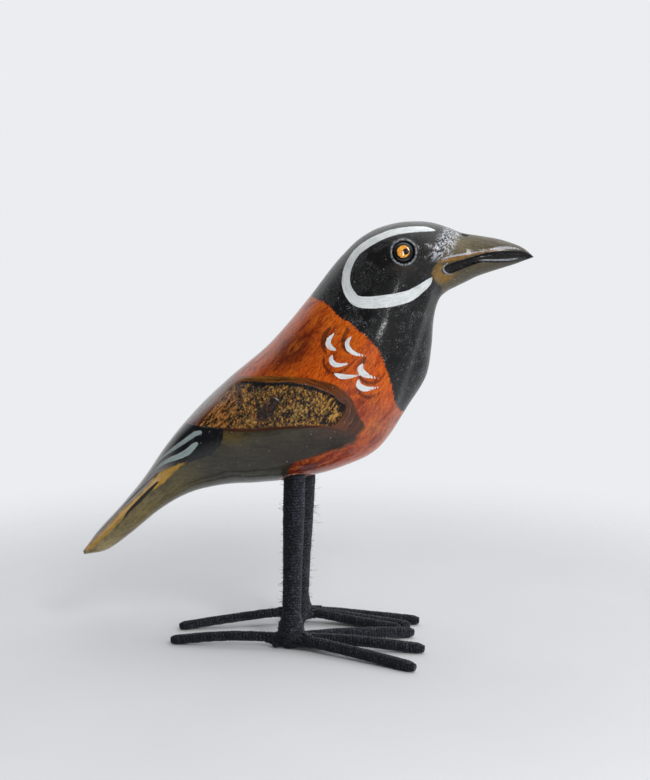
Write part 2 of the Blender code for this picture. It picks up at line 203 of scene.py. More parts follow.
# Painted areas, as outlines in the side view (x, z). Both sides are painted alike.
HEAD_BLACK = (
    (-3, 129.5), (3.3, 126.4), (6.5, 125.8), (9, 124.7), (11, 122.7), (13.8, 120.5),
    (17, 119.1), (18.4, 117.6), (21.1, 115.7), (23.7, 113.5), (26.4, 110.5), (28.1, 107.4),
    (29.2, 104.1), (30.5, 100.8), (31.5, 96.5), (32.3, 90.6), (33.4, 87.2), (34.9, 84.7),
    (40, 80), (110, 80), (110, 180), (-3, 180),
)
BEAK = (
    (51.8, 150), (51.1, 148.8), (49.9, 146.9), (49.2, 144.9), (48.5, 142.9), (47.5, 141.3),
    (46.2, 138.7), (45.1, 136.5), (45.4, 134), (46.9, 131.9), (48.4, 130.2), (49, 120),
    (100, 120), (100, 170), (52.5, 160),
)
BARK = (
    (-37.4, 81.1), (-34.7, 84.1), (-31.8, 87.4), (-30.4, 90.4), (-27.9, 92.9), (-24.6, 95.7),
    (-21, 97.2), (-17.4, 97.5), (-13, 97.5), (-8.7, 97.8), (-4.9, 98.1), (0.1, 97.7),
    (4.5, 96.9), (8.6, 95.3), (11.8, 93.7), (14.1, 91.2), (15.7, 90.4), (14.9, 87.1),
    (12.8, 84.1), (10.8, 82.5), (8.1, 83.4), (4.1, 82.8), (-2, 82.7), (-8.1, 82.1),
    (-14.3, 81.4), (-20.1, 80.7), (-25.7, 81), (-31.3, 80.7), (-35.8, 80.5),
)
BARK_RINGS = (
    (-38.5, 80), (-36, 85), (-32.5, 90.5), (-28, 95.5), (-22.2, 98.4), (-14.9, 99.4),
    (-8.4, 100.1), (-2.1, 100), (3.3, 99.8), (8.1, 98.9), (12.1, 97.7), (15.7, 95.3),
    (18.1, 92.4), (19.6, 88.2), (20.8, 85.1), (22.5, 83), (21.8, 80.8), (19.8, 79.2),
    (10, 79), (-8, 79), (-38, 79),
)
FLANK_OLIVE = (
    (-38.1, 80.4), (-31.3, 80.1), (-26.9, 80.1), (-20.1, 80.5), (-14.3, 81.2), (-8.1, 81.9),
    (-2, 82.3), (4.1, 82.3), (10, 81.6), (14.7, 80.6), (20, 80.2), (19.6, 77.3),
    (17.6, 75.4), (13, 73.4), (9.6, 72.6), (4, 70.8), (-2.6, 68.9), (-5.6, 65),
    (-1.2, 50), (-60, 0), (-110, 0), (-110, 80.4),
)
TAIL_BLACK = (
    (-38.2, 80.6), (-32.7, 80.7), (-27.9, 80.4), (-28.2, 77.2), (-29.4, 74.4), (-32.9, 70.3),
    (-37.4, 68.8), (-41.9, 66.8), (-46.5, 65.4), (-51, 63.4), (-54.2, 61.8), (-57.2, 57.4),
    (-63, 51.7), (-68.3, 46.8), (-74.8, 39.4), (-81.1, 33.6), (-90, 26), (-90, 80),
    (-47, 80.6),
)
TAIL_OCHRE = (
    (-42.2, 67.2), (-45, 66.2), (-50, 64), (-54, 61.6), (-57, 57.6), (-62.8, 51.8),
    (-68.2, 46.9), (-74.7, 39.6), (-81, 33.9), (-84, 31.3), (-81.8, 30.2), (-79.1, 32.5),
    (-73.6, 38), (-67.8, 44), (-62.4, 49.3), (-56.6, 55), (-51.9, 58.2), (-47.8, 62.3),
    (-44.6, 65.4),
)
GAPE_OCHRE = (
    (47.4, 139.6), (45.4, 136.6), (45.2, 134.7), (46.9, 132.4), (48.9, 131.6), (51.8, 133.6),
    (52.4, 136.4), (49.5, 137.6),
)
# Painted strokes: x, z and half width along each.
WHITE_STRIPE = (
    (45.8, 150.5, 0.15), (43.4, 150.9, 0.62), (40.7, 151, 0.85), (36.1, 150.7, 0.95),
    (31.4, 149.9, 1), (26.7, 148.2, 1.1), (22, 145.6, 1.2), (18.2, 142.5, 1.2),
    (16, 138.8, 1.35), (15, 135.2, 1.45), (15.2, 131.7, 1.6), (16.8, 128.6, 1.75),
    (19, 126.6, 1.85), (22.8, 126, 2), (28.4, 126.4, 2.15), (32.9, 127, 2.15),
    (37.5, 128.2, 2), (41.1, 130.4, 1.55), (43.8, 132.7, 1.05), (45, 134.3, 0.2),
)
WHITE_CRESCENTS = (
    ((11.4, 115.2, 0.22), (9.8, 113.2, 0.78), (9.6, 111.5, 0.95), (10.6, 110.4, 0.8), (12.3, 109.7, 0.3)),
    ((17.6, 114.3, 0.2), (16.2, 112.4, 0.7), (16.7, 110.2, 0.82), (19.2, 108.4, 0.62), (23.4, 107.5, 0.15)),
    ((11, 107.7, 0.3), (10.7, 106.2, 0.84), (11.8, 104.8, 0.92), (13.6, 104.5, 0.66), (16.3, 105, 0.36)),
    ((12.2, 101.4, 0.42), (14.2, 100.6, 0.9), (16.9, 100.5, 0.66), (20.8, 100.9, 0.18)),
    ((21.8, 105, 0.22), (20.8, 103, 1.02), (22.3, 101.2, 1.02), (24.2, 100.3, 0.6), (26.9, 99.6, 0.22)),
    ((20.3, 99.2, 0.3), (20.3, 97.4, 0.95), (22.2, 96.1, 1.02), (24.6, 96.1, 0.6), (27.8, 96.4, 0.18)),
)
BROWN_CRESCENTS = (
    ((10, 117, 0.49), (8.2, 114.8, 0.91), (7.8, 111.3, 0.84), (8.8, 108.4, 0.44)),
    ((8, 107.6, 0.35), (8.4, 104.2, 0.49), (10.6, 101.9, 0.56), (13.3, 101.8, 0.49), (15.9, 103.2, 0.42),
     (19.2, 106.5, 0.21)),
    ((16.6, 116.9, 0.56), (15.1, 114.1, 0.84), (15, 111, 0.77), (16.6, 108.8, 0.44)),
    ((22.4, 106.9, 0.7), (21.4, 105.2, 0.84), (20.4, 103, 0.44)),
    ((20.6, 100.6, 0.42), (22, 98.8, 0.62), (24.6, 98, 0.62), (27.2, 98.6, 0.5), (29.6, 101.6, 0.21)),
    ((19.6, 96.4, 0.5), (21.4, 93.8, 0.6), (24, 92.8, 0.62), (26.6, 93.9, 0.4), (29.2, 95.9, 0.21)),
)
GREY_STREAKS = (
    ((-36.8, 78.5, 0.7), (-38.6, 77.9, 0.85), (-41.4, 75.9, 0.8), (-44.4, 73.7, 0.7), (-47.8, 71.2, 0.55),
     (-51.5, 68.3, 0.35), (-55.5, 64.6, 0.1)),
    ((-38.3, 74.3, 0.7), (-39.6, 73.1, 1), (-41.6, 71.1, 1.15), (-45.2, 69, 1), (-48.7, 67.5, 0.8),
     (-52.4, 65.2, 0.45), (-57, 61.2, 0.1)),
)
TAIL_MIDDLE = ((-43, 65.2, 1), (-54.5, 59.3, 1), (-68, 46, 1), (-83, 31, 1))
TAIL_EDGE_LINE = (
    (-53.3, 62.5, 0.12), (-57.6, 58.3, 0.18), (-66.9, 49.3, 0.18), (-74.5, 41, 0.17), (-81.1, 34.2, 0.14),
)
TAIL_LINE = (
    (-53.4, 59, 0.3), (-57.5, 54.7, 0.62), (-61.5, 50.6, 0.6), (-64.9, 47.1, 0.45), (-67.4, 43.6, 0.15),
)
WING_LINE = (
    (-36, 80.4, 0.2), (-27, 80.5, 0.5), (-20.1, 80.6, 0.55), (-14.3, 81.2, 0.55), (-8.1, 81.9, 0.5),
    (-2, 82.4, 0.5), (4.1, 82.5, 0.5), (10, 81.9, 0.5), (14.7, 80.6, 0.45), (17.8, 79.4, 0.15),
)
MOUTH_PAINT = (
    (50.1, 136.7, 1.7), (53.9, 138.2, 1.75), (56.6, 139, 1.5), (59.4, 140, 1.45), (61.8, 140.6, 1.55),
    (64.6, 141, 1.85), (67.4, 141.1, 2.1), (69.8, 141.2, 2.2), (72.6, 141.2, 2.15), (75.4, 141.3, 1.95),
    (77.9, 141.2, 1.5), (80.5, 141, 1),
)
LIP_STRIP = (
    (47.6, 139.9, 0.31), (50.4, 140.3, 0.56), (54, 141, 0.56), (57.6, 141.9, 0.43), (61.6, 142.8, 0.4),
    (65.6, 143.4, 0.31), (70, 143.7, 0.12),
)
# Small white marks: painted shine on the lips and along the upper beak, and one spot in the bark.
PALE_MARKS = (
    ((61, 139.9, 0.1), (64, 140, 0.22), (68, 139.9, 0.26), (71.5, 140, 0.22), (74.7, 140.4, 0.08)),
    ((50.4, 139.3, 0.1), (49.2, 138.1, 0.24), (49, 136.5, 0.26), (50.3, 135.4, 0.3), (52.3, 135.1, 0.1)),
    ((48, 140.7, 0.1), (51.5, 141.6, 0.3), (55, 142.1, 0.34), (60, 142.9, 0.26), (64, 143.5, 0.1)),
    ((65, 143.8, 0.1), (67.5, 144.2, 0.4), (70.5, 144.3, 0.42), (73.5, 144.1, 0.26), (75.5, 143.6, 0.1)),
    ((-9.5, 92.7, 0.15), (-8.5, 92, 0.34), (-7.6, 91.1, 0.15)),
)
BARK_CRACK = ((-19.8, 94, 0.5), (-18, 95.2, 1), (-16.2, 96, 1.1), (-14, 96.6, 0.7))
BARK_SCAR = ((-15.2, 84.9, 1), (-13, 87, 2.1), (-11, 89, 2.1), (-9, 91.6, 1.2), (-8, 93, 0.5))
BARK_GOUGE = ((-24, 95.4, 0.5), (-22.6, 93.4, 1), (-22, 91, 0.9), (-22.6, 88.8, 0.35))
# What the mesh keeps for the paint: how far each point lies outside these areas and strokes.
AREAS = {
    "head_edge": HEAD_BLACK, "beak_edge": BEAK, "rings_edge": BARK_RINGS, "olive_edge": FLANK_OLIVE,
    "tail_black_edge": TAIL_BLACK, "ochre_edge": TAIL_OCHRE, "gape_edge": GAPE_OCHRE,
}
STROKES = {
    "brown_edge": BROWN_CRESCENTS, "tail_line_edge": (TAIL_LINE,), "edge_line_edge": (TAIL_EDGE_LINE,),
    "wing_line_edge": (WING_LINE,), "mouth_edge": (MOUTH_PAINT,), "lip_edge": (LIP_STRIP,),
    "pale_marks_edge": PALE_MARKS, "scar_edge": (BARK_SCAR, BARK_GOUGE),
}
BRUSHED_STROKES = {"white": (WHITE_STRIPE, *WHITE_CRESCENTS), "grey": GREY_STREAKS}

def to_model(points):
    """Places in the bird's millimetres, as places in the model's metres."""
    return (np.asarray(points, float) + BIRD_SHIFT) * MM


def paint(red, green, blue):
    """A colour as it is read on a screen, 0 to 255, turned into the linear light of a shader."""
    shares = np.array((red, green, blue)) / 255.0
    return np.where(shares <= 0.04045, shares / 12.92, ((shares + 0.055) / 1.055) ** 2.4)


# Paint with soft spots in it: a base colour, and of each spot the x, z, half length, half height, tilt
# in degrees, colour and strength.
WASHES = {
    "orange": ((228, 102, 22), (
        (-2, 109.6, 10, 4.8, 45, (84, 24, 14), 0.95),  # dark red patch on the mantle
        (-9, 106, 7, 3, 45, (100, 34, 20), 0.6),
        (10, 118, 9, 4.5, -35, (222, 112, 30), 0.85),
        (14, 107, 9, 8, 0, (192, 84, 24), 0.6),
        # Grey-brown along the back behind the bark and onto the tail: a brown partly lightened by painted
        # sheen.
        (-30, 92, 12, 7, 45, (112, 92, 86), 0.9),
        (-40, 83, 10, 6, 45, (112, 96, 90), 0.95),
        (-52, 72, 12, 6, 48, (104, 96, 94), 0.95),
        (-68, 52, 14, 6, 48, (128, 118, 112), 0.95),
        (25, 88, 6, 9, 20, (176, 82, 42), 0.8),  # breast
        (25.5, 80.5, 4.5, 2.6, 35, (226, 146, 64), 0.7),
        (29, 80, 9, 7, 40, (172, 88, 60), 0.8),
        (20, 74, 9, 4, 25, (166, 66, 36), 0.7),
        (6, 68, 9, 3, 15, (140, 48, 34), 0.8),
        (-1, 66.2, 9.5, 5, 10, (94, 10, 14), 1),  # dark red by the leg
    )),
    "olive": ((60, 56, 43), (
        (-25, 77.5, 7, 2.6, 0, (118, 100, 56), 0.85),
        (-10, 78, 14, 3, 5, (74, 72, 54), 0.6),
        (5, 77.5, 13, 3.6, 8, (54, 42, 33), 0.8),
        (15, 79.2, 8, 1.8, 0, (76, 46, 36), 0.9),
        (11, 75.6, 9, 2.4, 15, (38, 30, 24), 0.95),  # dark streak
        (2, 72, 9, 2.6, 15, (46, 36, 28), 0.8),
        (-3, 68, 5, 4, 0, (46, 34, 30), 0.7),
        (-20, 64, 18, 4, -5, (62, 62, 56), 0.5),
        (-46, 58, 10, 6, 45, (112, 102, 62), 0.85),
        (-60, 47, 10, 6, 45, (148, 132, 80), 0.9),
        (-76, 33, 11, 8, 45, (172, 154, 104), 0.95),
    )),
    "beak": ((88, 78, 52), (
        (56, 146, 5, 3, 0, (106, 94, 66), 0.7),
        (70, 145.5, 7, 2, -15, (92, 88, 76), 0.6),
        (79, 141.5, 3.5, 3, 0, (34, 32, 33), 0.95),
        (51, 134, 4, 2.5, 30, (104, 90, 58), 0.7),
        (60, 134.5, 6, 1.8, 15, (72, 70, 62), 0.8),
        (71, 138.3, 5, 1.4, 15, (58, 56, 54), 0.8),
        (55.4, 149, 2.4, 0.9, -20, (14, 14, 14), 0.95),
        (52.2, 150.6, 1.2, 1, 0, (14, 14, 14), 0.9),
    )),
    "rings": ((134, 74, 28), (
        (-16, 99, 12, 1.5, 0, (156, 100, 34), 0.8),
        (8, 98, 7, 2, -20, (132, 66, 30), 0.6),
        (18, 86, 4.5, 6, 0, (70, 40, 28), 0.9),
        (16, 92, 4, 3, -45, (92, 48, 32), 0.8),
        (20.5, 82, 3.5, 3, 0, (112, 62, 34), 0.7),
        (-8, 80.6, 26, 1.8, 2, (84, 44, 26), 0.9),
    )),
    "bark": ((182, 124, 46), (
        (-29, 86.5, 9, 6.5, 45, (158, 92, 30), 0.85),
        (-10.5, 89, 6, 4.5, 45, (66, 38, 28), 0.95),  # scar
        (-22, 91, 3, 5, 70, (120, 68, 30), 0.6),
        (0, 88, 6, 5, 0, (136, 118, 66), 0.7),
        (8, 90, 4, 4, 0, (170, 126, 52), 0.6),
        (-4, 95.5, 5, 1.6, 0, (176, 112, 40), 0.6),
    )),
    "black": ((22, 22, 23), (
        (45, 144, 4.5, 6, 0, (44, 40, 36), 0.8),
        (34.8, 138, 4, 1.6, 0, (60, 52, 44), 0.7),
    )),
}
WHITE_PAINT = paint(242, 246, 246)
GREY_PAINT = paint(176, 190, 188)
BROWN_PAINT = paint(84, 40, 20)
OCHRE_PAINT = paint(196, 150, 44)
PEACH_PAINT = paint(216, 178, 122)
EDGE_LINE_PAINT = paint(86, 88, 90)
TAIL_PAINT = paint(24, 26, 27)
LINE_PAINT = paint(18, 17, 17)
WING_LINE_PAINT = paint(72, 40, 26)
GAPE_PAINT = paint(150, 110, 34)
LIP_PAINT = paint(150, 102, 34)
PALE_MARK_PAINT = paint(200, 204, 212)
MOUTH_BLACK = paint(17, 16, 19)
BARE_WOOD = paint(206, 150, 132)
CREVICE = paint(22, 16, 12)
DUST = paint(214, 206, 200)
THREAD = paint(12, 13, 17)
IRIS = paint(206, 150, 62)

# The stage.
LIGHT_DISTANCE = 620
FLOOR_FADE = (120, 300)
FLOOR_TINTS = (paint(205, 206, 209), paint(217, 218, 220))
BACKGROUND = paint(235, 237, 240)
SKY_COLOUR = (0.97, 0.985, 1)
SKY_LEVEL = 0.72
SKY_TOP = 1.5
# Darker places round the bird: azimuth, height, cosines at the edge and the core, and what is left.
DIM_PLACES = ((-42, 18, 0.26, 0.72, 0.06), (70, -6, 0.55, 0.92, 0.38))


def smoothstep(low, high, values):
    """0 below the low value and 1 above the high one, with a soft climb between; high may lie below low."""
    t = np.clip((np.asarray(values, float) - low) / (high - low), 0.0, 1.0)
    return t * t * (3 - 2 * t)


def curve_through(rows, places, space_columns=3):
    """Rows on one smooth curve through the given rows. Place 0 is the first row, 1 the next."""
    table = np.array(rows, float)
    moves = np.linalg.norm(np.diff(table[:, :space_columns], axis=0), axis=1)
    knots = np.concatenate([[0.0], np.cumsum(np.sqrt(moves))])
    slopes = np.gradient(table, knots, axis=0)
    places = np.asarray(places, float)
    i = np.clip(places.astype(int), 0, len(table) - 2)
    t = (places - i)[:, None]
    span = (knots[i + 1] - knots[i])[:, None]
    return (
        table[i] * (2 * t**3 - 3 * t**2 + 1)
        + slopes[i] * span * (t**3 - 2 * t**2 + t)
        + table[i + 1] * (3 * t**2 - 2 * t**3)
        + slopes[i + 1] * span * (t**3 - t**2)
    )


def smooth_path(rows, steps=5, space_columns=2):
    """A smooth curve through rows, with so many steps from each to the next."""
    return curve_through(rows, np.linspace(0, len(rows) - 1, steps * (len(rows) - 1) + 1), space_columns)


def evenly_placed(path, spacing):
    """Positions along a path, as shares of its samples, that lie the given spacing apart."""
    steps = np.linalg.norm(np.diff(path, axis=0), axis=1) / ((spacing[1:] + spacing[:-1]) / 2)
    along = np.concatenate([[0.0], np.cumsum(steps)])
    count = max(2, int(math.ceil(along[-1])) + 1)
    return np.interp(np.linspace(0, along[-1], count), along, np.arange(len(path)))


def noise_values(points, size, seed=0.0, octaves=3):
    """Smooth noise, about -1 to 1, with lumps of the given size."""
    shift = Vector((seed * 17.3, seed * 5.1, seed * 9.7))
    found = [noise.fractal(Vector(p) / size + shift, 0.6, 2.0, octaves) for p in points]
    return np.array(found)


def segment_measures(points, path):
    """Of each point in the side view: distance to the path, half width there, run along, offset across."""
    path = np.asarray(path, float)
    best = np.full(len(points), 1e9)
    width = np.zeros(len(points))
    along = np.zeros(len(points))
    across = np.zeros(len(points))
    run = 0.0
    for a, b in zip(path, path[1:]):
        line = b[:2] - a[:2]
        length = max(np.linalg.norm(line), 1e-9)
        offset = points - a[:2]
        t = np.clip(offset @ line / length**2, 0.0, 1.0)
        distance = np.linalg.norm(offset - t[:, None] * line, axis=1)
        half = a[2] + (b[2] - a[2]) * t if len(a) > 2 else np.zeros(len(points))
        nearer = distance - half < best - width
        best = np.where(nearer, distance, best)
        width = np.where(nearer, half, width)
        along = np.where(nearer, run + t * length, along)
        side = (line[0] * offset[:, 1] - line[1] * offset[:, 0]) / length
        across = np.where(nearer, side, across)
        run += length
    return best, width, along, across


def outside_of(points, outline):
    """How far each point of the side view lies outside a closed outline; less than zero inside."""
    outline = np.asarray(outline, float)
    closed = np.vstack([outline, outline[:1]])
    distance = segment_measures(points, closed)[0]
    inside = np.zeros(len(points), bool)
    for (ax, az), (bx, bz) in zip(closed, closed[1:]):
        crosses = (az > points[:, 1]) != (bz > points[:, 1])
        reach = (bx - ax) * (points[:, 1] - az) / (bz - az + 1e-12) + ax
        inside ^= crosses & (points[:, 0] < reach)
    return np.where(inside, -distance, distance)


def outside_of_strokes(points, strokes):
    """How far each point lies outside the nearest stroke, and its place along and across it."""
    best = np.full(len(points), 1e9)
    along = np.zeros(len(points))
    across = np.zeros(len(points))
    for number, stroke in enumerate(strokes):
        distance, width, run, offset = segment_measures(points, smooth_path(stroke))
        nearer = distance - width < best
        best = np.where(nearer, distance - width, best)
        along = np.where(nearer, run + 37.0 * number, along)
        across = np.where(nearer, offset, across)
    return best, along, across


def body_grid():
    """Points of the body before any carving: rings from tail to beak, each from the top round its left."""
    fine = np.arange(0, len(BODY_STATIONS) - 1 + 1e-9, 1 / STEPS_BETWEEN_STATIONS)
    rows = curve_through(BODY_STATIONS, fine)
    middles = (rows[:, 0:2] + rows[:, 2:4]) / 2
    spacing = np.interp(middles[:, 0], *zip(*RING_SPACING))
    rings = evenly_placed(middles, spacing) / STEPS_BETWEEN_STATIONS
    degrees = np.linspace(0, 180, HALF_TURN_STEPS + 1)
    arc = np.radians(degrees)[:, None] * WIDEST_RADIUS
    steps = evenly_placed(arc, np.interp(degrees, *zip(*ROUND_SPACING)))
    half = steps / HALF_TURN_STEPS * math.pi
    angles = np.concatenate([half, 2 * math.pi - half[-2:0:-1]])

    rows = curve_through(BODY_STATIONS, np.minimum(rings, len(BODY_STATIONS) - 1))
    top, bottom = rows[:, None, 0:2], rows[:, None, 2:4]
    power = 2 / rows[:, None, 5]
    c, s = np.cos(angles)[None], np.sin(angles)[None]
    rise = np.sign(c) * np.abs(c) ** power
    side = np.sign(s) * np.abs(s) ** power
    rise = rise + rows[:, None, 6] * (1 - rise**2)
    flat = (top + bottom) / 2 + (top - bottom) / 2 * rise[..., None]
    return np.stack([flat[..., 0], rows[:, None, 4] * side, flat[..., 1]], axis=-1)


def step_in_to_the_beak(points):
    """Makes the beak narrower than the face where it begins."""
    along = BEAK_LINE_HIGH - BEAK_LINE_LOW
    ahead = np.array((along[1], -along[0])) / np.linalg.norm(along)
    distance = (points[..., [0, 2]] - BEAK_LINE_LOW) @ ahead
    step = smoothstep(-BEAK_STEP_WIDTH / 2, BEAK_STEP_WIDTH / 2, distance)
    fade = 1 - smoothstep(BEAK_LINE_HIGH[0], BEAK_STEP_END_X, points[..., 0])
    points[..., 1] *= 1 - BEAK_STEP * step * fade


def grid_normals(points):
    """Outward directions at the points of a grid of rings."""
    along = np.gradient(points, axis=0)
    ahead = np.roll(points, -1, axis=1)
    behind = np.roll(points, 1, axis=1)
    normals = np.cross(along, ahead - behind)
    normals /= np.linalg.norm(normals, axis=-1, keepdims=True) + 1e-12
    middles = points.mean(axis=1, keepdims=True)
    if ((points - middles) * normals).sum() < 0:
        normals = -normals
    return normals


def grid_faces(rings, sides):
    faces = []
    for i in range(rings - 1):
        here, after = i * sides, (i + 1) * sides
        for k in range(sides):
            n = (k + 1) % sides
            faces.append((here + k, here + n, after + n, after + k))
    return faces


def new_piece(name, points, faces, material, replaces):
    """A mesh from points in the bird's millimetres, riding on the one body of the model."""
    mesh = bpy.data.meshes.new(name)
    mesh.from_pydata(to_model(points).tolist(), [], faces)
    mesh.validate()
    mesh.shade_smooth()
    mesh.materials.append(material)
    piece = bpy.data.objects.new(name, mesh)
    bpy.context.scene.collection.objects.link(piece)
    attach(piece, "root")
    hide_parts(replaces)
    return piece


def store(mesh, name, values):
    """Keeps a number or a colour for each point of a mesh."""
    values = np.asarray(values, np.float32)
    if values.ndim == 1:
        mesh.attributes.new(name, "FLOAT", "POINT").data.foreach_set("value", values)
    else:
        colours = np.ones((len(values), 4), np.float32)
        colours[:, :3] = values
        mesh.attributes.new(name, "FLOAT_COLOR", "POINT").data.foreach_set("color", colours.ravel())


def wash(points, base, spots):
    """A base colour with soft spots laid over it."""
    colours = np.tile(paint(*base), (len(points), 1))
    for x, z, long, high, tilt, colour, strength in spots:
        a = math.radians(tilt)
        dx, dz = points[:, 0] - x, points[:, 2] - z
        u = (dx * math.cos(a) + dz * math.sin(a)) / long
        v = (-dx * math.sin(a) + dz * math.cos(a)) / high
        share = (strength * np.exp(-(u * u + v * v)))[:, None]
        colours = colours * (1 - share) + paint(*colour) * share
    return colours


def bark_relief(points, outside):
    """How far the bark lies below the carved wood, and how light it is, 0 in a crevice to 1 on a ridge."""
    depth = np.zeros(len(points))
    light = np.full(len(points), 0.5)
    near = np.flatnonzero(outside < 0.6)
    flat = points[near][:, [0, 2]]
    grain = np.radians(BARK_GRAIN_TILT)
    u = flat[:, 0] * math.cos(grain) + flat[:, 1] * math.sin(grain)
    v = -flat[:, 0] * math.sin(grain) + flat[:, 1] * math.cos(grain)
    side = np.sign(points[near][:, 1]) * 40.0
    cells = np.zeros(len(near))
    for n, (x, z, s) in enumerate(zip(flat[:, 0], flat[:, 1], side)):
        wobble = 0.5 * noise.noise(Vector((x * 0.7, s, z * 0.7)))
        gaps, _ = noise.voronoi(Vector((x / BARK_CELL + wobble, s, z / BARK_CELL - wobble)))
        cells[n] = gaps[1] - gaps[0]
    cells = smoothstep(0.02, 0.4, cells)
    lumps = noise_values(points[near], 1.1, seed=3, octaves=4)
    broad = noise_values(points[near], 4.5, seed=5, octaves=2)
    rows = noise_values(np.stack([u * 0.28, side, v * 1.6], axis=1), 1.0, seed=8, octaves=3)
    ends = np.maximum(smoothstep(-20, -30, flat[:, 0]), smoothstep(7, 12, flat[:, 0]))
    ridged = smoothstep(-0.35, 0.35, rows)
    texture = (0.55 * cells + 0.45 * smoothstep(-0.5, 0.6, lumps)) * (1 - ends) + ends * ridged
    crack = outside_of_strokes(flat, (BARK_CRACK,))[0]
    scar = outside_of_strokes(flat, (BARK_SCAR,))[0]
    cracked = smoothstep(0.5, -0.4, crack)
    scarred = smoothstep(1.2, -0.6, scar)
    texture = texture * (1 - 0.55 * scarred) * (1 - cracked)
    rim = smoothstep(-1.3, -0.1, outside[near]) * smoothstep(88, 94, flat[:, 1] + 0.25 * flat[:, 0])
    inside = smoothstep(0.35, -0.45, outside[near])
    sunk = 0.12 + 0.42 * (1 - texture) + 0.16 * broad + 0.35 * rim + 0.55 * cracked + 0.28 * scarred
    depth[near] = np.maximum(sunk, 0.05) * inside
    # The lightness drops in the crevices, the crack and along the sunk upper rim: painted shade over the
    # bark's own tone.
    light[near] = np.clip(texture + 0.22 * broad, 0, 1) * (1 - 0.8 * rim)
    return depth, light


def eye_place(skin, sign):
    """Where the eye of one side is set, and the way it looks."""
    place, normal, _, _ = skin.ray_cast(Vector((EYE_X, sign * 100, EYE_Z)), Vector((0, -sign, 0)))
    if normal.y * sign < 0:
        normal = -normal
    return place, normal


def eye_relief(points, skin):
    """The raised rim of each eye and the socket inside it."""
    ring = np.full(len(points), FAR_OFF)
    for sign in (-1, 1):
        place, normal = eye_place(skin, sign)
        offset = points - np.array(place)
        deep = offset @ np.array(normal)
        radius = np.linalg.norm(offset - deep[:, None] * np.array(normal), axis=1)
        radius = np.where((np.abs(deep) < 5) & (points[:, 1] * sign > 0), radius, FAR_OFF)
        ring = np.minimum(ring, radius)
    near = ring < 8
    uneven = np.zeros(len(points))
    uneven[near] = noise_values(points[near], 2.2, seed=2, octaves=2)
    rim = np.exp(-(((ring - EYE_RIM_RADIUS - 0.15 * uneven) / EYE_RIM_WIDTH) ** 2))
    height = EYE_RIM_HEIGHT * (1 + 0.25 * uneven) * rim
    height -= EYE_SOCKET_DEPTH * (1 - smoothstep(EYE_RADIUS - 0.25, EYE_RADIUS + 0.35, ring))
    return height, ring


def mouth_relief(points):
    """How far the mouth's groove is cut in, towards the middle plane."""
    x, z = points[:, 0], points[:, 2]
    line = np.array(MOUTH_LINE)
    middle = np.interp(x, line[:, 0], line[:, 1])
    half = np.interp(x, line[:, 0], line[:, 2])
    along = smoothstep(*MOUTH_STARTS, x) * (1 - smoothstep(*MOUTH_ENDS, x))
    share = np.abs(z - middle) / half
    depth = np.minimum(MOUTH_DEPTH, MOUTH_DEEPEST_SHARE * np.abs(points[:, 1]))
    return depth * (1 - smoothstep(MOUTH_FLOOR_SHARE, 1.05, share)) * along


def nostril_relief(points):
    """How far the two nostrils are sunk into the top of the beak."""
    x, y = points[:, 0], np.abs(points[:, 1])
    over = 1 - ((x - NOSTRIL_PLACE[0]) / NOSTRIL_HALF_SIZES[0]) ** 2
    over -= ((y - NOSTRIL_PLACE[1]) / NOSTRIL_HALF_SIZES[1]) ** 2
    over = np.where(points[:, 2] > NOSTRIL_LOWEST, over, 0)
    return NOSTRIL_HALF_SIZES[2] * np.sqrt(np.clip(over, 0, 1))


def leg_hole_relief(points):
    """The blind hole round each leg, and how far each point is from its ragged rim."""
    depth = np.zeros(len(points))
    rim = np.full(len(points), FAR_OFF)
    for side in LEGS:
        foot, belly = np.array(LEGS[side]["foot"]), np.array(LEGS[side]["belly"])
        axis = (belly - foot) / np.linalg.norm(belly - foot)
        offset = points - belly
        deep = offset @ axis
        radius = np.linalg.norm(offset - deep[:, None] * axis, axis=1)
        radius = np.where(deep < 12, radius, FAR_OFF)
        near = np.flatnonzero(radius < 9)
        ragged = np.zeros(len(points))
        ragged[near] = LEG_HOLE_RAG * noise_values(points[near], 0.9, seed=11, octaves=3)
        edge = radius - LEG_RADII[-1][1] - LEG_HOLE_GAP - ragged
        depth = np.maximum(depth, LEG_HOLE_SEEN_DEPTH * smoothstep(0.35, -0.35, edge))
        rim = np.minimum(rim, edge)
    return depth, rim


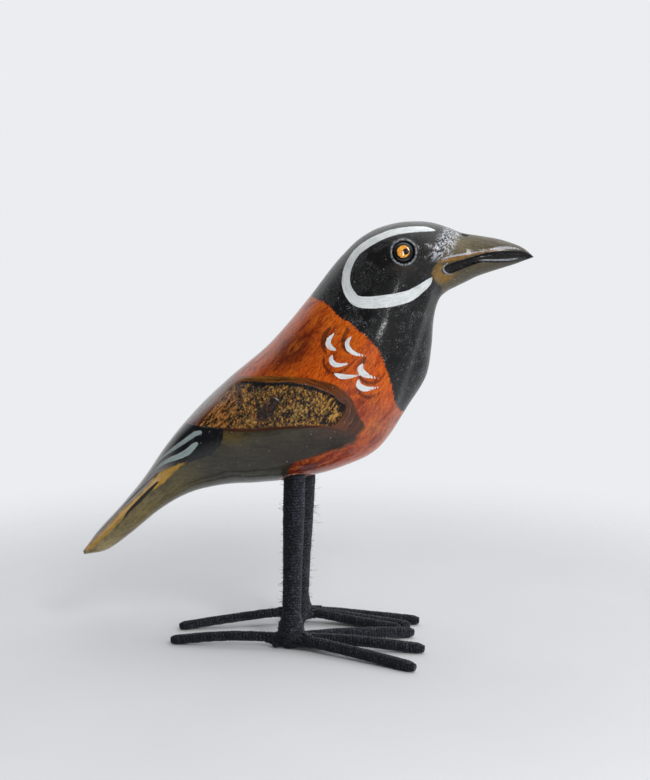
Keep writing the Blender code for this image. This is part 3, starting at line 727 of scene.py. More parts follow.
def build_body(material):
    """The carved body with its reliefs and what its paint needs; gives the uncarved skin."""
    grid = body_grid()
    step_in_to_the_beak(grid)
    rings, sides = grid.shape[:2]
    normals = grid_normals(grid).reshape(-1, 3)
    points = grid.reshape(-1, 3)
    faces = grid_faces(rings, sides)
    skin = BVHTree.FromPolygons(points.tolist(), faces)
    side_view = points[:, [0, 2]]

    bark_edge = outside_of(side_view, BARK)
    bark_depth, bark_light = bark_relief(points, bark_edge)
    eye_height, eye_ring = eye_relief(points, skin)
    hole_depth, hole_rim = leg_hole_relief(points)
    hand_cut = HAND_CUT * noise_values(points, 9, seed=1, octaves=2)
    height = eye_height + hand_cut - bark_depth - nostril_relief(points) - hole_depth - SKIN_INSET
    carved = points + normals * height[:, None]
    carved[:, 1] -= np.sign(points[:, 1]) * mouth_relief(points)

    ends = []
    for ring, inner, bulge in ((0, 1, END_BULGES[0]), (rings - 1, rings - 2, END_BULGES[1])):
        middle = carved.reshape(rings, sides, 3)[ring].mean(axis=0)
        way = middle - carved.reshape(rings, sides, 3)[inner].mean(axis=0)
        ends.append(middle + way / np.linalg.norm(way) * (bulge - SKIN_INSET))
        tip = len(points) + len(ends) - 1
        for k in range(sides):
            corner, after = ring * sides + k, ring * sides + (k + 1) % sides
            faces.append((corner, after, tip) if ring else (after, corner, tip))
    body = new_piece("painted_body", np.vstack([carved, ends]), faces, material, "body")

    def keep(name, values):
        last = values[:: max(1, len(values) - 1)][:2]
        store(body.data, name, np.concatenate([values, last]))

    keep("bark_edge", bark_edge)
    keep("bark_light", bark_light)
    keep("eye_ring", eye_ring)
    keep("hole_rim", hole_rim)
    for name, outline in AREAS.items():
        keep(name, outside_of(side_view, outline))
    for name, strokes in STROKES.items():
        keep(name, outside_of_strokes(side_view, strokes)[0])
    for name, strokes in BRUSHED_STROKES.items():
        for kind, values in zip(("edge", "along", "across"), outside_of_strokes(side_view, strokes)):
            keep(f"{name}_{kind}", values)
    for name, (base, spots) in WASHES.items():
        keep(name, wash(points, base, spots))
    keep("ochre_across", outside_of_strokes(side_view, (TAIL_MIDDLE,))[2])
    upper = grid[..., 2] > grid[..., 2].mean(axis=1, keepdims=True)
    side = np.abs(grid[..., 1]) / np.abs(grid[..., 1]).max(axis=1, keepdims=True)
    keep("ridge", np.where(upper, 1 - side, 0).ravel())
    return skin


class Value:
    """A number or a colour among the nodes, with plain arithmetic."""

    def __init__(self, graph, socket):
        self.graph, self.socket = graph, socket

    def __add__(self, other):
        return self.graph.math("ADD", self, other)

    def __sub__(self, other):
        return self.graph.math("SUBTRACT", self, other)

    def __rsub__(self, other):
        return self.graph.math("SUBTRACT", other, self)

    def __mul__(self, other):
        return self.graph.math("MULTIPLY", self, other)

    def __abs__(self):
        return self.graph.math("ABSOLUTE", self, 0)


class Graph:
    """Short calls that add the nodes of a material or of the sky."""

    def __init__(self, tree):
        self.tree = tree

    def node(self, kind, inputs, result=0, **settings):
        """Adds a node with its settings and inputs, and gives one of its results."""
        made = self.tree.nodes.new(kind)
        for key, value in settings.items():
            setattr(made, key, value)
        for key, value in inputs.items():
            self.put(value, made.inputs[key])
        return Value(self, made.outputs[result]) if made.outputs else None

    def put(self, value, socket):
        if isinstance(value, Value):
            self.tree.links.new(value.socket, socket)
        elif socket.type == "RGBA":
            socket.default_value = (*value, 1.0)
        else:
            socket.default_value = value

    def math(self, operation, a, b):
        return self.node("ShaderNodeMath", {0: a, 1: b}, operation=operation)

    def ramp(self, value, low, high, to_low=0, to_high=1):
        inputs = dict(enumerate((value, low, high, to_low, to_high)))
        return self.node("ShaderNodeMapRange", inputs, interpolation_type="SMOOTHSTEP")


class Net(Graph):
    """The nodes of one new material. Its places are those of the model, in millimetres."""

    def __init__(self, name):
        self.material = bpy.data.materials.new(name)
        self.material.use_nodes = True
        super().__init__(self.material.node_tree)
        metres = self.node("ShaderNodeTexCoord", {}, "Object")
        self.place = self.node("ShaderNodeVectorMath", {0: metres, "Scale": 1 / MM}, operation="SCALE")
        self.x = self.node("ShaderNodeSeparateXYZ", {0: self.place}, "X")
        self.z = self.node("ShaderNodeSeparateXYZ", {0: self.place}, "Z")

    def number(self, name):
        return self.node("ShaderNodeAttribute", {}, "Fac", attribute_name=name)

    def colour(self, name):
        return self.node("ShaderNodeAttribute", {}, "Color", attribute_name=name)

    def joined(self, x, y):
        """A place in a flat pattern, from two numbers."""
        return self.node("ShaderNodeCombineXYZ", {0: x, 1: y})

    def grained(self, long, thick, tilt):
        """Places measured in lumps of this length and thickness; the length rises by the tilt in degrees."""
        inputs = {0: self.place, "Scale": (long, thick, thick), "Rotation": (0, -math.radians(tilt), 0)}
        return self.node("ShaderNodeMapping", inputs, vector_type="TEXTURE")

    def noise(self, scale, detail=3, rough=0.55, place=None):
        inputs = {"Vector": place or self.place, "Scale": scale, "Detail": detail, "Roughness": rough}
        return self.node("ShaderNodeTexNoise", inputs, "Fac")

    def grain(self, long, thick, tilt, detail=4, rough=0.65):
        """Noise drawn out into streaks."""
        return self.noise(1, detail, rough, self.grained(long, thick, tilt))

    def cells(self, scale):
        """How far a place is from the middle of its cell."""
        return self.node("ShaderNodeTexVoronoi", {"Vector": self.place, "Scale": scale}, "Distance")

    def blend(self, share, under, over):
        """A number between two others."""
        return self.node("ShaderNodeMix", {0: share, 2: under, 3: over}, data_type="FLOAT")

    def mix(self, share, under, over, blend="MIX"):
        """A colour between two others."""
        inputs = {0: share, 6: under, 7: over}
        return self.node("ShaderNodeMix", inputs, 2, data_type="RGBA", blend_type=blend)

    def lay(self, under, over, pattern, low, high, most=1):
        """A colour laid over another as a pattern goes from low to high, at most by this share."""
        return self.mix(self.ramp(pattern, low, high, 0, most), under, over)

    def glaze(self, under, tint, pattern, low, high, most):
        """A tint that darkens a colour as a pattern goes from low to high, at most by this share."""
        return self.mix(self.ramp(pattern, low, high, 0, most), under, tint, "MULTIPLY")

    def mask(self, name, wobble, scale, soft, place=None):
        """1 inside an edge that is kept on the mesh and 0 outside it, with a hand-painted waver."""
        waver = self.noise(scale, 4, 0.6, place) - 0.5
        return self.ramp(self.number(name) + waver * (2 * wobble), -soft, soft, 1, 0)

    def bump(self, height, distance, under=None):
        inputs = {"Strength": 1, "Distance": distance * MM, "Height": height}
        if under:
            inputs["Normal"] = under
        return self.node("ShaderNodeBump", inputs)

    def shade(self, **sockets):
        shader = self.tree.nodes["Principled BSDF"]
        for name, value in sockets.items():
            self.put(value, shader.inputs[name.replace("_", " ").title().replace("Ior", "IOR")])
        return self.material


def orange_paint(net):
    """Orange brushed thinly along the grain, so that the darker pores show through."""
    broad = net.grain(9, 3.2, 48, 3, 0.6)
    fine = net.grain(2.4, 0.6, 58, 4, 0.7)
    pores = net.grain(1.5, 0.42, 64, 2, 0.6)
    fresh = net.ramp(net.x, -26, -12)
    coat = net.glaze(net.colour("orange"), (0.45, 0.26, 0.4), broad, 0.50, 0.66, 0.8)
    coat = net.mix(net.ramp(broad, 0.48, 0.34, 0, 0.5) * fresh, coat, paint(224, 116, 30))
    coat = net.glaze(coat, (0.5, 0.36, 0.5), fine, 0.44, 0.62, 0.75)
    coat = net.mix(net.ramp(fine, 0.42, 0.30, 0, 0.4) * fresh, coat, paint(232, 128, 44))
    return net.glaze(coat, (0.30, 0.26, 0.5), pores, 0.58, 0.68, 0.75)


def growth_rings(net, under):
    """The edge of the cut round the bark, where the year rings come to the surface."""
    run = net.number("bark_edge") + net.noise(0.3, 3, 0.6) * 2.4
    lines = net.noise(1, 3, 0.7, net.joined(run * 1.5, net.x * 0.07))
    rings = net.lay(net.colour("rings"), paint(50, 26, 16), lines, 0.44, 0.62, 0.8)
    rings = net.lay(rings, paint(196, 134, 58), lines, 0.40, 0.28, 0.5)
    rings = net.lay(rings, paint(74, 40, 24), net.noise(2.6, 3, 0.7), 0.55, 0.7, 0.4)
    return net.mix(net.mask("rings_edge", 0.45, 0.7, 0.45), under, rings)


def olive_paint(net, under):
    """Olive in streaks that follow the body and the tail; its edge is soft towards the breast."""
    streaks = net.blend(net.ramp(net.x, -36, -50), net.grain(6, 1.1, 6), net.grain(5, 1, 46))
    specks = net.noise(3, 3, 0.75)
    olive = net.glaze(net.colour("olive"), (0.36, 0.34, 0.34), streaks, 0.44, 0.66, 0.6)
    olive = net.glaze(olive, (0.62, 0.58, 0.52), net.noise(0.13, 4, 0.7), 0.44, 0.6, 0.7)
    olive = net.lay(olive, paint(112, 100, 70), specks, 0.54, 0.70, 0.55)
    olive = net.lay(olive, paint(24, 23, 20), specks, 0.44, 0.32, 0.55)
    crisp = net.mask("olive_edge", 0.5, 0.5, 0.45)
    soft = net.mask("olive_edge", 1.6, 0.7, 1.3, net.grained(4, 1.2, 15))
    return net.mix(net.blend(net.ramp(net.x, 2, 12), crisp, soft), under, olive)


def bark_and_its_edge(net, under):
    """Granules of bark between black crevices, with painted shade in the low places and painted highlight on
    the ridges; also gives its share and its relief.
    """
    at_ends = net.math("MAXIMUM", net.ramp(net.x, 5, 11), net.ramp(net.x, -20, -27))
    torn = net.grain(2.8, 0.42, 60, 3, 0.6) - 0.5
    fleck = net.blend(at_ends, (net.noise(1.5, 3, 0.65) - 0.5) * 1.5, torn * 2.4)
    granule = net.ramp(net.cells(1.05), 0.12, 0.62, 0.24, -0.14)
    curls = net.ramp(abs(net.cells(0.62) - 0.36), 0.09, 0.03, 0, -0.3) * (1 - at_ends)
    # A painted shade line: darker along the crevice under the bark's upper edge.
    crevice = net.ramp(net.number("bark_edge"), -1.6, -0.5, 0, -0.38)
    crevice = crevice * net.ramp(net.x, -27, -17) * net.ramp(net.z, 84, 90)
    relief = fleck + curls + granule + (net.number("bark_light") * 0.8 + 0.17) + crevice

    olive = net.ramp(net.noise(0.75, 3, 0.7), 0.45, 0.58) * net.ramp(net.x, -26, -14, 0.6, 1)
    bark = net.mix(olive, net.colour("bark"), paint(118, 100, 50))
    bark = net.lay(bark, paint(176, 96, 42), net.noise(1, 2, 0.6), 0.56, 0.66, 0.8)
    # By relief: darker in the low places and gold on the ridges, the bark's own tones with painted shade and
    # painted highlight.
    bark = net.lay(bark, paint(88, 58, 30), relief, 0.52, 0.30)
    gold_and_highlight = net.lay(paint(226, 172, 84), paint(212, 140, 60), net.x, -14, -26)
    bark = net.lay(bark, gold_and_highlight, relief, 0.62, 0.88, 0.9)
    patches = net.ramp(net.noise(0.42, 2), 0.42, 0.56, 0.35, 0)
    bark = net.mix(patches, bark, (0.5, 0.46, 0.5), "MULTIPLY")
    scar = net.lay(paint(44, 24, 20), paint(92, 56, 46), torn, -0.08, 0.08)
    bark = net.mix(net.mask("scar_edge", 0.9, 0.8, 0.5) * 0.85, bark, scar)
    # Black in the lowest places: partly the crevices' own dark, partly painted shade.
    bark = net.lay(bark, CREVICE, relief, 0.32, 0.14)
    share = net.mask("bark_edge", 0.35, 1.1, 0.12)
    surface = net.mix(share, under, bark)
    surface = net.mix(net.mask("wing_line_edge", 0.3, 0.8, 0.25), surface, WING_LINE_PAINT)
    return surface, share, relief


def tail_paint(net, under):
    """Black on the sides of the tail's root, paling to grey towards the tip, and brown along its ridge with
    painted sheen, with an ochre band below.
    """
    ridge = net.number("ridge")
    # Brown along the ridge with paler streaks laid over it: painted sheen.
    ridge_brown_and_sheen = net.lay(paint(112, 102, 98), paint(164, 156, 154), net.grain(4, 0.7, 46, 4, 0.6), 0.4, 0.6)
    ridge_brown_and_sheen = net.lay(ridge_brown_and_sheen, paint(206, 192, 190), net.grain(3, 0.4, 48, 4, 0.7), 0.52, 0.64, 0.8)
    surface = net.mix(net.ramp(ridge, 0.15, 0.55) * net.ramp(net.x, -20, -34), under, ridge_brown_and_sheen)
    black = net.lay(TAIL_PAINT, paint(44, 46, 48), net.grain(5, 0.8, 46, 4, 0.6), 0.5, 0.7)
    # Painted sheen: the black pales to grey towards the tail's end.
    black = net.lay(black, paint(178, 174, 172), net.x, -42, -56, 0.9)
    share = net.mask("tail_black_edge", 0.35, 0.8, 0.15) * net.ramp(ridge, 0.6, 0.2)
    surface = net.mix(share, surface, black)
    upper = net.ramp(net.number("ochre_across"), 1.2, 0.4) * net.ramp(net.x, -46, -54)
    ochre = net.mix(upper, OCHRE_PAINT, PEACH_PAINT)
    ochre = net.lay(ochre, paint(136, 98, 44), net.grain(4, 0.7, 47), 0.45, 0.65, 0.45)
    surface = net.mix(net.mask("ochre_edge", 0.9, 1, 0.5, net.grained(3, 0.7, 46)), surface, ochre)
    surface = net.mix(net.mask("edge_line_edge", 0.1, 1, 0.12), surface, EDGE_LINE_PAINT)
    return net.mix(net.mask("tail_line_edge", 0.12, 1, 0.1), surface, LINE_PAINT)


def head_paint(net, under):
    """Black, with ragged brush ends where it meets the orange; also gives its share."""
    share = net.mask("head_edge", 1.5, 1, 0.2, net.grained(2, 0.45, 38))
    black = net.lay(net.colour("black"), paint(92, 92, 94), net.noise(3.4, 2, 0.6), 0.62, 0.74, 0.4)
    return net.mix(share, under, black), share


def beak_paint(net, under):
    """Streaked olive, with an ochre gape and lip round the black mouth."""
    streaks = net.grain(7, 0.9, -10)
    beak = net.glaze(net.colour("beak"), (0.42, 0.42, 0.45), streaks, 0.42, 0.66, 0.6)
    beak = net.lay(beak, paint(148, 132, 96), net.noise(2.8, 3, 0.75), 0.53, 0.68, 0.55)
    surface = net.mix(net.mask("beak_edge", 1.3, 1, 0.3, net.grained(2.6, 0.5, 52)), under, beak)
    blotches = net.ramp(net.noise(0.7, 4, 0.7), 0.32, 0.62, 0.35, 1)
    surface = net.mix(net.mask("gape_edge", 0.8, 0.9, 0.9) * blotches, surface, GAPE_PAINT)
    lip = net.mask("lip_edge", 0.3, 1.2, 0.3) * net.ramp(streaks, 0.62, 0.42, 0.45, 1)
    surface = net.mix(lip, surface, LIP_PAINT)
    mouth = net.lay(MOUTH_BLACK, paint(52, 42, 40), streaks, 0.5, 0.7, 0.5)
    return net.mix(net.mask("mouth_edge", 0.12, 1.2, 0.1), surface, mouth)


def brush_stroke(net, under, stroke, colour, bare, shadow):
    """A stroke of thick paint, with the streaks that the brush left; also gives its share and streaks."""
    place = net.joined(net.number(f"{stroke}_along") * 0.22, net.number(f"{stroke}_across") * 2.2)
    bristles = net.noise(1, 4, 0.65, place)
    gaps = net.ramp(bristles, 0.48, 0.32) * bare
    share = net.mask(f"{stroke}_edge", 0.22, 1.8, 0.08) * (1 - gaps)
    shaded = net.mix(net.ramp(bristles, 0.36, 0.6, shadow, 0), colour, colour * (0.58, 0.62, 0.66))
    return net.mix(share, under, shaded), share, bristles


def painted_shine(net, surface):
    """Highlights of the varnish that are painted on: on the eyelids, the root of the beak and the lips."""
    rim = abs(net.number("eye_ring") - EYE_RIM_RADIUS)
    lids = net.ramp(rim, 0.5, 0.1) * net.ramp(net.noise(1.7, 3, 0.75), 0.44, 0.58, 0.15, 1)
    surface = net.mix(lids, surface, paint(170, 174, 180))
    zone = net.ramp(abs(net.number("beak_edge")), 4.6, 1.6) * net.ramp(net.z, 139, 143)
    streaks = net.ramp(net.grain(4.5, 0.6, 46, 2, 0.6), 0.47, 0.57, 0, 0.95) * zone
    surface = net.mix(streaks, surface, paint(196, 200, 208))
    broken = net.ramp(net.noise(2.2, 3, 0.7), 0.38, 0.52, 0.1, 0.85)
    return net.mix(net.mask("pale_marks_edge", 0.12, 1.2, 0.12) * broken, surface, PALE_MARK_PAINT)


def chips_and_dust(net, surface, black_share):
    """Bare wood round the leg holes with painted shade inside them, specks of dust, and a fine painted
    sparkle of highlight on the black.
    """
    hole = net.number("hole_rim")
    chipped = net.ramp(hole, 1.5, 0.8) * net.ramp(net.noise(0.9, 3), 0.36, 0.46)
    surface = net.mix(chipped, surface, BARE_WOOD)
    # Painted shade: dark inside the leg holes.
    surface = net.lay(surface, CREVICE, hole, 0.15, -0.2)
    speck = net.ramp(net.cells(0.55), 0.11, 0.06) * net.ramp(net.noise(0.35, 2), 0.54, 0.6)
    surface = net.mix(speck * 0.8, surface, DUST)
    # Painted highlight: a fine sparkle on the black, strongest low on the throat.
    fine = net.ramp(net.noise(3.2, 2, 0.8), 0.58, 0.64)
    sparkle = fine * net.ramp(net.noise(0.22, 3, 0.7), 0.51, 0.63) * black_share
    return net.mix(sparkle * net.ramp(net.z, 131, 125, 0.25, 0.75), surface, paint(176, 180, 186))


def paint_relief(net, black_share, thick, rough_bark):
    """The fine relief of the varnish: brush marks by the beak, nibs in the black, strokes and bark."""
    brushed = net.grain(7, 0.95, 55, 0, 0.5) * net.ramp(abs(net.number("beak_edge")), 5.5, 2)
    gritty = net.ramp(net.noise(0.16, 2), 0.36, 0.5) * black_share
    nibs = net.ramp(net.noise(2.6, 1, 0.5), 0.52, 0.72) * gritty
    skin = net.bump(brushed, 0.17)
    uneven = net.noise(2.2, 2, 0.5)
    for height, distance in ((uneven, 0.012), (nibs, 0.14), (thick, 0.07), (rough_bark, 0.2)):
        skin = net.bump(height, distance, skin)
    return skin


def painted_wood():
    """Paint brushed on wood under a coat of clear varnish."""
    net = Net("painted_wood")
    surface = olive_paint(net, growth_rings(net, orange_paint(net)))
    surface, bark_share, relief = bark_and_its_edge(net, surface)
    thin = net.ramp(net.grain(2.6, 0.5, 60, 3, 0.6), 0.34, 0.6, 1, 0.65)
    surface = net.mix(net.mask("brown_edge", 0.3, 1.6, 0.28) * thin, surface, BROWN_PAINT)
    surface, black_share = head_paint(net, tail_paint(net, surface))
    surface = beak_paint(net, surface)
    surface, grey_share, _ = brush_stroke(net, surface, "grey", GREY_PAINT, 0.15, 0.5)
    bare = net.ramp(net.z, 124, 119, 0.15, 0.6)
    surface, white_share, bristles = brush_stroke(net, surface, "white", WHITE_PAINT, bare, 0.32)
    surface = chips_and_dust(net, painted_shine(net, surface), black_share)
    thick = (white_share + grey_share) * (bristles + 0.6)
    rough_bark = (relief + net.noise(4, 2)) * bark_share
    skin = paint_relief(net, black_share, thick, rough_bark)
    return net.shade(
        base_color=surface,
        roughness=0.5,
        coat_weight=1,
        coat_roughness=0.11,
        coat_ior=1.46,
        specular_ior_level=0.05,
        normal=skin,
        coat_normal=skin,
    )


def eye_bead():
    """A glossy bead: black, with an orange iris and a black pupil painted on it."""
    net = Net("eye_bead")
    uneven = (net.noise(0.8, 3) - 0.5) * 0.3
    iris = net.ramp(net.number("from_iris") + uneven, IRIS_RADIUS - EYE_BLUR, IRIS_RADIUS + EYE_BLUR, 1, 0)
    pupil = net.ramp(net.number("from_pupil"), PUPIL_RADIUS - EYE_BLUR, PUPIL_RADIUS + EYE_BLUR, 1, 0)
    orange = net.lay(IRIS, paint(194, 112, 26), net.noise(2.5, 3, 0.6), 0.4, 0.7)
    surface = net.mix(pupil, net.mix(iris, MOUTH_BLACK, orange), LINE_PAINT)
    return net.shade(
        base_color=surface,
        roughness=0.5,
        specular_ior_level=0.05,
        coat_weight=1,
        coat_roughness=0.03,
        coat_ior=1.5,
    )


def wound_thread():
    """Matt black thread: fine twisted fibres, lint, a soft sheen and painted shade in the grooves between
    its turns.
    """
    net = Net("wound_thread")
    run = net.joined(net.number("turns"), net.number("around"))
    twist = net.node("ShaderNodeMapping", {0: run, "Scale": (3, 1.2, 1), "Rotation": (0, 0, 0.6)})
    fibres = net.noise(1, 3, 0.6, twist)
    fluff = net.noise(1.9, 4, 0.7)
    surface = net.lay(THREAD, paint(25, 27, 33), fibres, 0.4, 0.7)
    surface = net.lay(surface, paint(78, 82, 96), fluff, 0.49, 0.65, 0.85)
    surface = net.lay(surface, paint(15, 16, 20), net.noise(0.25, 2), 0.4, 0.65, 0.5)
    # Painted shade: near black in the grooves between the turns.
    surface = net.mix(net.ramp(net.number("ridge"), 0.3, 1, 0.8, 0), surface, paint(4, 4, 6))
    surface = net.mix(net.ramp(net.noise(3, 2, 0.5), 0.68, 0.74) * 0.6, surface, paint(120, 124, 134))
    return net.shade(
        base_color=surface,
        roughness=0.95,
        specular_ior_level=0.15,
        sheen_weight=0.1,
        sheen_roughness=0.5,
        normal=net.bump(fibres + fluff, 0.2),
    )


def build_eye(side, sign, skin, material):
    """The bead: a disc in the socket under a glossy dome, as rings round its axis."""
    place, normal = eye_place(skin, sign)
    axis = np.array(normal)
    level = np.cross((0, 0, 1), axis)
    level /= np.linalg.norm(level)
    upright = np.cross(axis, level)
    ahead = level if level[0] > 0 else -level
    profile = [(EYE_RADIUS * 0.6, -EYE_SUNK), (EYE_RADIUS - 0.1, -EYE_SUNK), (EYE_RADIUS, -EYE_SUNK + 0.1)]
    for angle in np.linspace(0, math.pi / 2, EYE_DOME_RINGS):
        radius = max(EYE_RADIUS * math.cos(angle), 0.001)
        profile.append((radius, EYE_DOME * math.sin(angle) - SKIN_INSET))
    turn = np.linspace(0, 2 * math.pi, EYE_SIDES, endpoint=False)
    points = []
    for radius, height in profile:
        ring = np.outer(np.cos(turn) * radius, ahead) + np.outer(np.sin(turn) * radius, upright)
        points.append(ring + np.array(place) + axis * height)
    points = np.vstack(points)
    faces = grid_faces(len(profile), EYE_SIDES)
    faces += [tuple(range(EYE_SIDES)), tuple(range(len(points) - EYE_SIDES, len(points)))]
    eye = new_piece(f"glass_eye_{side}", points, faces, material, f"eye_{side}")
    offset = points - np.array(place)
    for name, (forward, raised) in (("from_iris", IRIS_PLACE), ("from_pupil", PUPIL_PLACE)):
        store(eye.data, name, np.hypot(offset @ ahead - forward, offset @ upright - raised))
    return eye


class Wound:
    """Gathers tubes wound with thread into the mesh of one leg."""

    def __init__(self):
        self.points, self.faces, self.turns, self.around, self.ridges = [], [], [], [], []

    def add(self, centres, skin, ways, sideways, turn, turns=0, around=0, ridges=STRAND_RIDGE):
        """A closed tube: a ring round each centre, as wide as the skin says."""
        sides = len(turn)
        other = np.cross(ways, sideways)
        points = (
            centres[:, None]
            + (skin * np.cos(turn))[..., None] * sideways[:, None]
            + (skin * np.sin(turn))[..., None] * other[:, None]
        ).reshape(-1, 3)
        faces = grid_faces(len(centres), sides)
        faces += [tuple(range(sides))[::-1], tuple(range(len(points) - sides, len(points)))]
        start = sum(len(p) for p in self.points)
        self.faces += [tuple(corner + start for corner in face) for face in faces]
        self.points.append(points)
        self.turns.append(np.broadcast_to(turns, len(points)))
        self.around.append(np.broadcast_to(around, len(points)))
        self.ridges.append(np.broadcast_to(ridges, len(points)))

    def tube(self, path, radii, sides, seed):
        """A tube along a path whose skin is the turns of a thread wound side by side."""
        along = np.concatenate([[0], np.cumsum(np.linalg.norm(np.diff(path, axis=0), axis=1))])
        count = max(4, int(along[-1] / (THREAD_PITCH / RINGS_PER_TURN)))
        runs = np.linspace(0, along[-1], count)
        centres = np.stack([np.interp(runs, along, path[:, k]) for k in range(3)], axis=1)
        ways = np.gradient(centres, axis=0)
        ways /= np.linalg.norm(ways, axis=1, keepdims=True)
        across = np.cross(ways[0], SIDE_HINT)
        sideways = []
        for way in ways:
            across = across - way * (across @ way)
            across = across / np.linalg.norm(across)
            sideways.append(across)
        turn = np.linspace(0, 2 * math.pi, sides, endpoint=False)
        drift = np.array([noise.noise(Vector((run * 0.21, seed, 0))) for run in runs]) * 1.3
        phase = runs[:, None] / THREAD_PITCH + drift[:, None] - turn[None] / (2 * math.pi)
        share = phase - np.floor(phase)
        ridge = np.sqrt(np.clip(1 - (2 * share - 1) ** 2, 0, 1))
        loose = np.array([
            [noise.noise(Vector((run * 0.45, math.cos(a) * 0.9 + seed, math.sin(a) * 0.9))) for a in turn]
            for run in runs[::4]
        ])
        loose = np.repeat(loose, 4, axis=0)[:count]
        skin = np.interp(runs, along, radii)[:, None] + THREAD_BULGE * (ridge - 0.78) + 0.13 * loose
        skin[[0, -1]] *= 0.5
        around = np.tile(turn * radii[0], count)
        self.add(centres, skin, ways, np.array(sideways), turn, phase.ravel(), around, ridge.ravel())

    def strand(self, path, radius, sides):
        """A plain round thread or hair."""
        path = np.array(path)
        ways = np.gradient(path, axis=0)
        ways /= np.linalg.norm(ways, axis=1, keepdims=True) + 1e-12
        across = np.cross(ways, SIDE_HINT)
        across /= np.linalg.norm(across, axis=1, keepdims=True)
        self.add(path, radius, ways, across, np.linspace(0, 2 * math.pi, sides, endpoint=False))


def toe_path(root, middle, end, radius):
    middle = np.array(middle, float)
    arch = root + 0.4 * (middle - root) + (0, 0, TOE_ARCH)
    tip = np.array((*end, radius - GROUND_BITE))
    return smooth_path([root, arch, middle, tip], 30, 3)


def build_leg(side, material):
    """Leg and foot of one side, wound with thread, bound at the ankle and fluffy."""
    plan = LEGS[side]
    rng = np.random.default_rng(plan["seed"])
    wound = Wound()
    foot, belly = np.array(plan["foot"]), np.array(plan["belly"])
    length = np.linalg.norm(belly - foot)
    way = (belly - foot) / length
    shares = np.linspace(0, 1, 120)
    path = np.vstack([foot + np.outer(shares * length, way), belly + way * LEG_IN_HOLE])
    radii = np.interp(shares, *zip(*LEG_RADII))
    wound.tube(path, np.append(radii, radii[-1] - 0.1), SHAFT_SIDES, 1)
    root = foot + (0, 0, plan["toe_root"])
    for number, (middle, end, radius) in enumerate(plan["toes"]):
        path = toe_path(root, middle, end, radius)
        swell = np.interp(np.linspace(0, 1, len(path)), *zip(*TOE_SWELLS))
        wound.tube(path, radius * swell, TOE_SIDES, 2 + number)
    knot = [root + (np.array(plan["knot"]) - root) * share for share in KNOT_SHARES]
    wound.tube(np.array(knot), KNOT_RADII, KNOT_SIDES, 9)

    tree = BVHTree.FromPolygons(np.vstack(wound.points).tolist(), wound.faces)
    add_binding(wound, tree, foot, rng)
    add_fuzz(wound, tree, foot, belly, rng)
    if side == "right":
        add_loose_loop(wound)
    points = np.vstack(wound.points)
    points[:, 2] = np.maximum(points[:, 2], SOLE_LEVEL)
    leg = new_piece(f"wound_leg_{side}", points, wound.faces, material, f"leg_{side}")
    for name, values in (("turns", wound.turns), ("around", wound.around), ("ridge", wound.ridges)):
        store(leg.data, name, np.concatenate(values))
    return leg


def add_binding(wound, tree, foot, rng):
    """Strands that cross over the roots of the toes and bind them to the leg."""
    for _ in range(BINDING_STRANDS):
        lean = rng.uniform(-0.9, 0.9)
        first_turn = rng.uniform(0, 2 * math.pi)
        level = rng.uniform(*BINDING_LEVELS)
        path = []
        for turn in np.linspace(0, 2 * math.pi, 40):
            way = Vector((math.cos(turn), math.sin(turn), 0))
            height = max(0.9, level + BINDING_LEAN * lean * math.cos(turn - first_turn))
            start = Vector(foot) + way * BINDING_REACH + Vector((0, 0, height))
            hit = tree.ray_cast(start, -way)[0]
            near = hit if hit and (hit - start).length > 5 else start - way * BINDING_DEEPEST
            path.append(np.array(near) + np.array(way) * BINDING_LIFT)
        wound.strand(path, BINDING_RADIUS, 7)


def add_fuzz(wound, tree, foot, belly, rng):
    """Loose fibres that stand off the shaft."""
    for _ in range(FUZZ_FIBRES):
        share = rng.uniform(0.04, 0.97)
        turn = rng.uniform(0, 2 * math.pi)
        way = Vector((math.cos(turn), math.sin(turn), rng.normal(0, 0.2))).normalized()
        centre = Vector(foot) + (Vector(belly) - Vector(foot)) * share
        hit = tree.ray_cast(centre + way * 12, -way)[0]
        if not hit:
            continue
        reach = rng.gamma(2.2, 0.28)
        bend = Vector(rng.normal(0, 0.6, 3))
        path = [hit + way * reach * t + bend * reach * t * t - way * 0.1 for t in np.linspace(0, 1, 5)]
        wound.strand(path, FUZZ_RADIUS, 3)


def add_loose_loop(wound):
    """A turn of thread that stands up from the second and third toes."""
    turns = np.linspace(-0.35 * math.pi, 1.45 * math.pi, 24)
    path = [LOOP_CENTRE + np.array((math.cos(t), math.sin(t), math.sin(t))) * LOOP_HALF_SIZES for t in turns]
    wound.strand(path, LOOP_RADIUS, 5)


def way_to(azimuth, height):
    """The direction to a place round the bird: azimuth 0 in front of its right side, both in degrees."""
    a, e = math.radians(azimuth), math.radians(height)
    return np.array((math.sin(a) * math.cos(e), -math.cos(a) * math.cos(e), math.sin(e)))


def aim_at_the_bird(name, data, azimuth, height, distance):
    """Places a camera or a lamp round the bird and turns it towards the middle of the view."""
    seen_from = bpy.data.objects.new(name, data)
    way = way_to(azimuth, height)
    seen_from.location = to_model(CAMERA_TARGET + way * distance)
    seen_from.rotation_mode = "QUATERNION"
    seen_from.rotation_quaternion = Vector(-way).to_track_quat("-Z", "Y")
    bpy.context.scene.collection.objects.link(seen_from)
    return seen_from


def make_camera():
    data = bpy.data.cameras.new("camera")
    data.lens = CAMERA_LENS
    data.clip_start, data.clip_end = 0.01, 20
    bpy.context.scene.camera = aim_at_the_bird("camera", data, CAMERA_AZIMUTH, CAMERA_PITCH, CAMERA_DISTANCE)


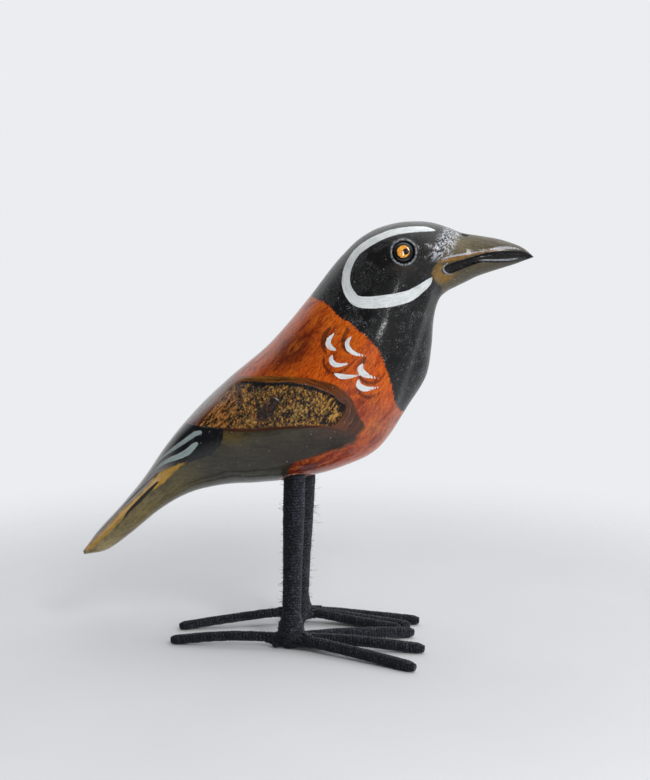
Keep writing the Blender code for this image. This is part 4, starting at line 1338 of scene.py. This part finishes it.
def make_floor():
    """A pale round floor that fades out softly at its edge. Its radii are in metres."""
    rings = np.concatenate([[0.00001], np.linspace(0.05, 1.2, 24)])
    turn = np.linspace(0, 2 * math.pi, 96, endpoint=False)
    points = [(r * math.cos(a), r * math.sin(a), 0) for r in rings for a in turn]
    mesh = bpy.data.meshes.new("floor")
    mesh.from_pydata(points, [], grid_faces(len(rings), len(turn)))
    net = Net("floor")
    from_middle = net.node("ShaderNodeVectorMath", {0: net.place}, "Value", operation="LENGTH")
    net.shade(
        base_color=net.mix(net.noise(0.01, 3), *FLOOR_TINTS),
        roughness=0.9,
        specular_ior_level=0.1,
        alpha=net.ramp(from_middle, *FLOOR_FADE, 1, 0),
    )
    mesh.materials.append(net.material)
    floor = bpy.data.objects.new("floor", mesh)
    bpy.context.scene.collection.objects.link(floor)


def make_world():
    """Soft studio light: bright above and all round, dimmer in front of the bird."""
    world = bpy.data.worlds.new("studio")
    bpy.context.scene.world = world
    world.use_nodes = True
    world.node_tree.nodes.clear()
    sky = Graph(world.node_tree)
    way = sky.node("ShaderNodeTexCoord", {}, "Generated")
    up = sky.node("ShaderNodeSeparateXYZ", {0: way}, "Z")
    level = sky.ramp(up, 0.1, 0.95, SKY_LEVEL, SKY_TOP)
    for azimuth, height, edge, core, darkest in DIM_PLACES:
        inputs = {0: way, 1: way_to(azimuth, height)}
        facing = sky.node("ShaderNodeVectorMath", inputs, "Value", operation="DOT_PRODUCT")
        level = level * sky.ramp(facing, edge, core, 1, darkest)
    lit = sky.node("ShaderNodeBackground", {"Color": SKY_COLOUR, "Strength": level})
    seen = sky.node("ShaderNodeBackground", {"Color": BACKGROUND})
    by_camera = sky.node("ShaderNodeLightPath", {}, "Is Camera Ray")
    choice = sky.node("ShaderNodeMixShader", {0: by_camera, 1: lit, 2: seen})
    sky.node("ShaderNodeOutputWorld", {"Surface": choice})


def add_softbox(name, azimuth, height, width, tall, brightness, mirrored=True):
    """A soft light round the bird, in degrees and millimetres; brightness 1 is that of white paper."""
    data = bpy.data.lights.new(name, "AREA")
    data.shape = "RECTANGLE"
    data.size, data.size_y = width * MM, tall * MM
    data.energy = brightness * math.pi * data.size * data.size_y
    lamp = aim_at_the_bird(name, data, azimuth, height, LIGHT_DISTANCE)
    lamp.visible_camera = False
    lamp.visible_glossy = mirrored
    return lamp


make_camera()
make_world()
make_floor()
add_softbox("key", 34, 40, 100, 190, 15)
add_softbox("fill", 42, 14, 420, 300, 2.5, mirrored=False)
add_softbox("glint", 26, 5, 50, 30, 20)
add_softbox("side", 92, 6, 260, 300, 1.7, mirrored=False)
bpy.context.scene.view_settings.view_transform = "Standard"

wood = painted_wood()
glass = eye_bead()
thread = wound_thread()
skin = build_body(wood)
eyes = bpy.data.collections.new("eyes")
legs = bpy.data.collections.new("legs")
for side, sign in (("right", -1), ("left", 1)):
    eyes.objects.link(build_eye(side, sign, skin, glass))
    legs.objects.link(build_leg(side, thread))

# A low light from ahead that brings out the thread, and a narrow window that only the eyes mirror.
add_softbox("low", 80, 6, 240, 260, 22, mirrored=False).light_linking.receiver_collection = legs
add_softbox("window", -2, 16, 80, 260, 16).light_linking.receiver_collection = eyes
